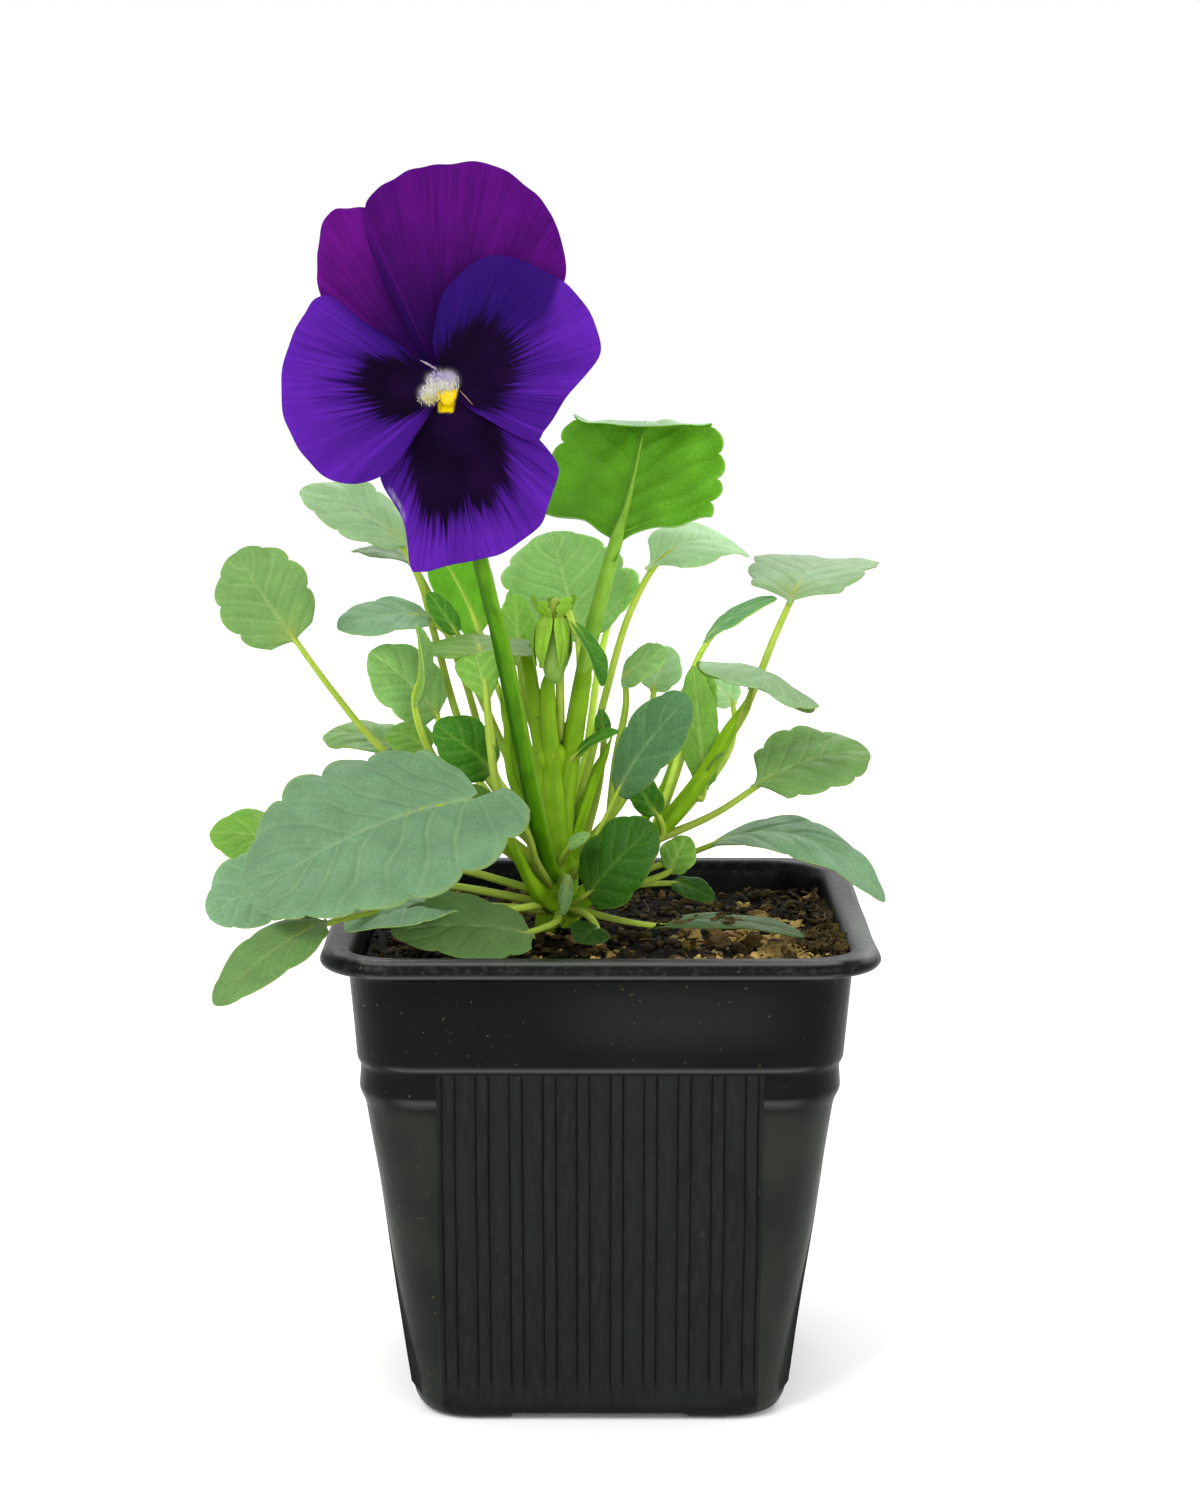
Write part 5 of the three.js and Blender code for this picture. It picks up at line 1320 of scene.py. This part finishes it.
def build_leaf_dirt():
    """Crumbs on the leaf that lies on the soil."""
    draw = np.random.default_rng(12)
    leaf = LEAVES["right_on_soil"]
    up = blade_frame(leaf)[3]
    shape = Shape()
    for _ in range(34):
        u, s = draw.uniform(0.05, 0.62), draw.uniform(-0.75, 0.75)
        place = blade_points(leaf, np.array([u]), np.array([s]))[0]
        size = draw.uniform(0.2, 0.75)
        add_grain(shape, draw, place + up * (BLADE_HALF + 0.3 * size), size, (1.3, 0.8, 0.6), wobble=0.4)
    shape.piece("leaf_dirt", [earth["crumb"]], "peat_soil")


def build_fibres():
    """Bent peat fibres, a third of them heaped by the right wall."""
    draw = np.random.default_rng(77)
    shape = Shape()
    steps = np.linspace(-0.5, 0.5, 7)
    for k in range(170):
        near_wall = k % 3 == 0
        x = draw.uniform(39, 44) if near_wall else draw.uniform(-42, 42)
        y = draw.uniform(-40, 25) if near_wall else draw.uniform(-42, 42)
        if not grain_fits(x, y):
            continue
        heading, bend = draw.uniform(0, math.tau), draw.uniform(-1.2, 1.2)
        length = draw.uniform(2.5, 8.0)
        angle = heading + bend * steps
        inside = (np.clip(x + length * steps * np.cos(angle), -43, 43),
                  np.clip(y + length * steps * np.sin(angle), -43, 43))
        lift = draw.uniform(0.5, 1.6) + wall_heap(x, y) * draw.uniform(0.3, 1.0)
        height = soil_height(*inside) + lift + draw.uniform(-0.5, 1.2) * np.abs(steps) * 2
        tube(shape, np.stack([*inside, height], 1), draw.uniform(0.07, 0.18), 5, tone=draw.random())
    shape.piece("soil_fibres", [earth["fibre"]], "peat_soil")


# ---------------------------------------------------------------- studio
FOCAL_PIXELS = 3110.0
FRAME_HEIGHT_PIXELS = 1500.0
SENSOR_WIDTH = 36.0
CAMERA_PLACE = (0, -0.588, 0.212)
CAMERA_PITCH = 8.77
FLOOR_RADIUS = 1500.0
FLOOR_SIDES = 96
LAMPS_LOOK_AT = Vector((0, 0, 0.12))
# each lamp: where it stands, how wide and high it is, and its power
LAMPS = [("lamp_key", (-0.75, -0.9, 1.15), (0.8, 0.6), 16.0),
         ("lamp_fill", (1.0, -0.8, 0.6), (0.7, 0.9), 5.0), ("lamp_back", (0.2, 1.1, 0.9), (1.2, 0.5), 9.0),
         ("lamp_front", (0.1, -1.2, 0.35), (0.9, 0.5), 4.0)]


def build_floor():
    shape = Shape()
    turn = turns(FLOOR_SIDES)
    disc = np.stack([FLOOR_RADIUS * np.cos(turn), FLOOR_RADIUS * np.sin(turn)], 1)
    rings = [np.hstack([disc * share, np.full((FLOOR_SIDES, 1), SOLE - drop)])
             for share, drop in ((0.01, 0), (0.1, 0), (0.4, 0), (1, 0), (1, 20), (0.01, 20))]
    shape.add(np.vstack([*rings, (0, 0, SOLE), (0, 0, SOLE - 20)]), tube_faces(len(rings), FLOOR_SIDES))
    mesh = shape.mesh("studio_floor")
    mesh.materials.append(plain_skin("studio_paper", display_colour(243, 243, 242),
                                     display_colour(247, 247, 246), 400.0, 0.9))
    floor = add_object("studio_floor", mesh)


def build_lamps():
    """Large soft lamps, with white light all round them."""
    for name, place, size, power in LAMPS:
        light = bpy.data.lights.new(name, "AREA")
        light.shape = "RECTANGLE"
        light.size, light.size_y = size
        light.energy = power
        lamp = add_object(name, light)
        lamp.location = place
        lamp.rotation_euler = (LAMPS_LOOK_AT - lamp.location).to_track_quat("-Z", "Y").to_euler()
    world = bpy.data.worlds.new("studio_world")
    world.use_nodes = True
    world.node_tree.nodes["Background"].inputs["Color"].default_value = (1, 1, 1, 1)
    world.node_tree.nodes["Background"].inputs["Strength"].default_value = 1.0
    bpy.context.scene.world = world


def build_camera():
    camera = bpy.data.cameras.new("camera")
    camera.sensor_width = SENSOR_WIDTH
    camera.lens = SENSOR_WIDTH * FOCAL_PIXELS / FRAME_HEIGHT_PIXELS
    camera.clip_start, camera.clip_end = 0.01, 10
    view = add_object("camera", camera)
    view.location = CAMERA_PLACE
    view.rotation_euler = (math.radians(90 - CAMERA_PITCH), 0, 0)
    bpy.context.scene.camera = view
    bpy.context.scene.view_settings.view_transform = "Standard"


# ---------------------------------------------------------------- everything
earth = {
    "peat": earth_skin("peat", colour(13, 14, 5), colour(54, 44, 20), 1.2, 0.4),
    "crumb": earth_skin("peat_crumbs", colour(20, 18, 8), colour(92, 76, 34), 0.8, 0.3),
    "grit": earth_skin("tan_grit", colour(92, 70, 28), colour(216, 182, 104), 0.9, 0.25),
    "bark": earth_skin("bark", colour(30, 23, 12), colour(96, 76, 42), 0.7, 0.3),
    "fibre": earth_skin("peat_fibre", colour(36, 28, 14), colour(112, 90, 54), 0.6, 0.1),
}
young = (164, 186, 84)
# each leaf skin: its upper side, its underside, its ribs and its young part
BLADE_COLOURS = {
    "blue": ("leaf_blue_green", (122, 166, 122), (120, 168, 70), (176, 206, 150), young),
    "grey": ("leaf_fresh_green", (122, 170, 90), (112, 164, 56), (178, 206, 130), young),
    "pale": ("leaf_pale_green", (158, 200, 142), (140, 186, 96), (196, 222, 166), young),
    "dark": ("leaf_dark_green", (52, 116, 18), (78, 144, 16), (128, 176, 64), young),
    "deep": ("leaf_deep_green", (80, 130, 78), (96, 148, 56), (150, 186, 120), young),
    "bright": ("leaf_bright_green", (112, 166, 58), (95, 163, 27), (178, 206, 110), young),
    "two_tone": ("leaf_two_tone", (158, 200, 148), (95, 163, 27), (120, 178, 62), (128, 180, 52)),
    "bud": ("bud_green", (150, 206, 50), (146, 202, 50), (170, 214, 80), young),
}
blades = {key: blade_skin(name, *(colour(*shade) for shade in shades))
          for key, (name, *shades) in BLADE_COLOURS.items()}
stalks = {
    "pale": stalk_skin("pale_stalk", colour(196, 220, 92), colour(150, 188, 50)),
    "stem": stalk_skin("pale_stem", colour(166, 216, 40), colour(112, 172, 10)),
    "leafy": stalk_skin("leafy_stalk", colour(154, 202, 72), colour(108, 166, 38)),
    "deep": stalk_skin("flower_stem", colour(119, 187, 16), colour(47, 106, 0), highlight_stripe=colour(152, 206, 56)),
}
bud_skin = stalk_skin("bud_body", colour(160, 200, 92), colour(104, 156, 42))
# each petal skin: its inner and outer part, its painted shade where another petal lies behind it (also the
# base of the blotch's feathering), and its blotch
PETAL_COLOURS = {
    "magenta": ((44, 8, 79), (112, 19, 138), (34, 8, 80), (20, 4, 34)),
    "plum": ((37, 6, 70), (94, 14, 124), (32, 7, 76), (20, 4, 34)),
    "violet": ((68, 23, 134), (109, 40, 188), (36, 13, 96), (17, 3, 30)),
}
petal_skins = {key: petal_skin("petal_" + key, *(colour(*shade) for shade in shades))
               for key, shades in PETAL_COLOURS.items()}
eye_skins = {
    "pistil": plain_skin("pistil", colour(246, 206, 4), colour(252, 220, 20), 0.6, 0.6),
    "hair": hair_skin(),
    "thread": plain_skin("pale_thread", colour(150, 136, 158), colour(186, 174, 178), 0.8, 0.5),
    "orange": plain_skin("orange_thread", colour(164, 128, 128), colour(190, 150, 130), 0.8, 0.5),
}

build_pot()
build_soil()
build_stem()
build_flower_stalk()
build_eye()
build_beard()
build_threads()
for petal in PETALS:
    build_petal(petal)
build_bud()
for leaf_name, leaf in LEAVES.items():
    build_leaf("leaf_" + leaf_name, leaf, "leaf_" + leaf_name)
for leaf_name, leaf in YOUNG_LEAVES.items():
    build_leaf("young_" + leaf_name, leaf)
build_young_stems()
scatter_grains("soil_crumbs", 1300, (0.35, 1.5), "crumb", 5, everywhere)
scatter_grains("soil_grit", 420, (0.4, 1.7), "grit", 6, grit_share)
scatter_grains("soil_clods", 62, (1.1, 2.5), "grit", 9, clod_share, 0.95, (0.1, 1.0), rows=12, sides=18)
scatter_grains("soil_bark", 60, (1.2, 2.6), "bark", 7, bark_share, 0.4)
build_fibres()
build_leaf_dirt()
build_wall_crumbs()
build_floor()
build_lamps()
build_camera()
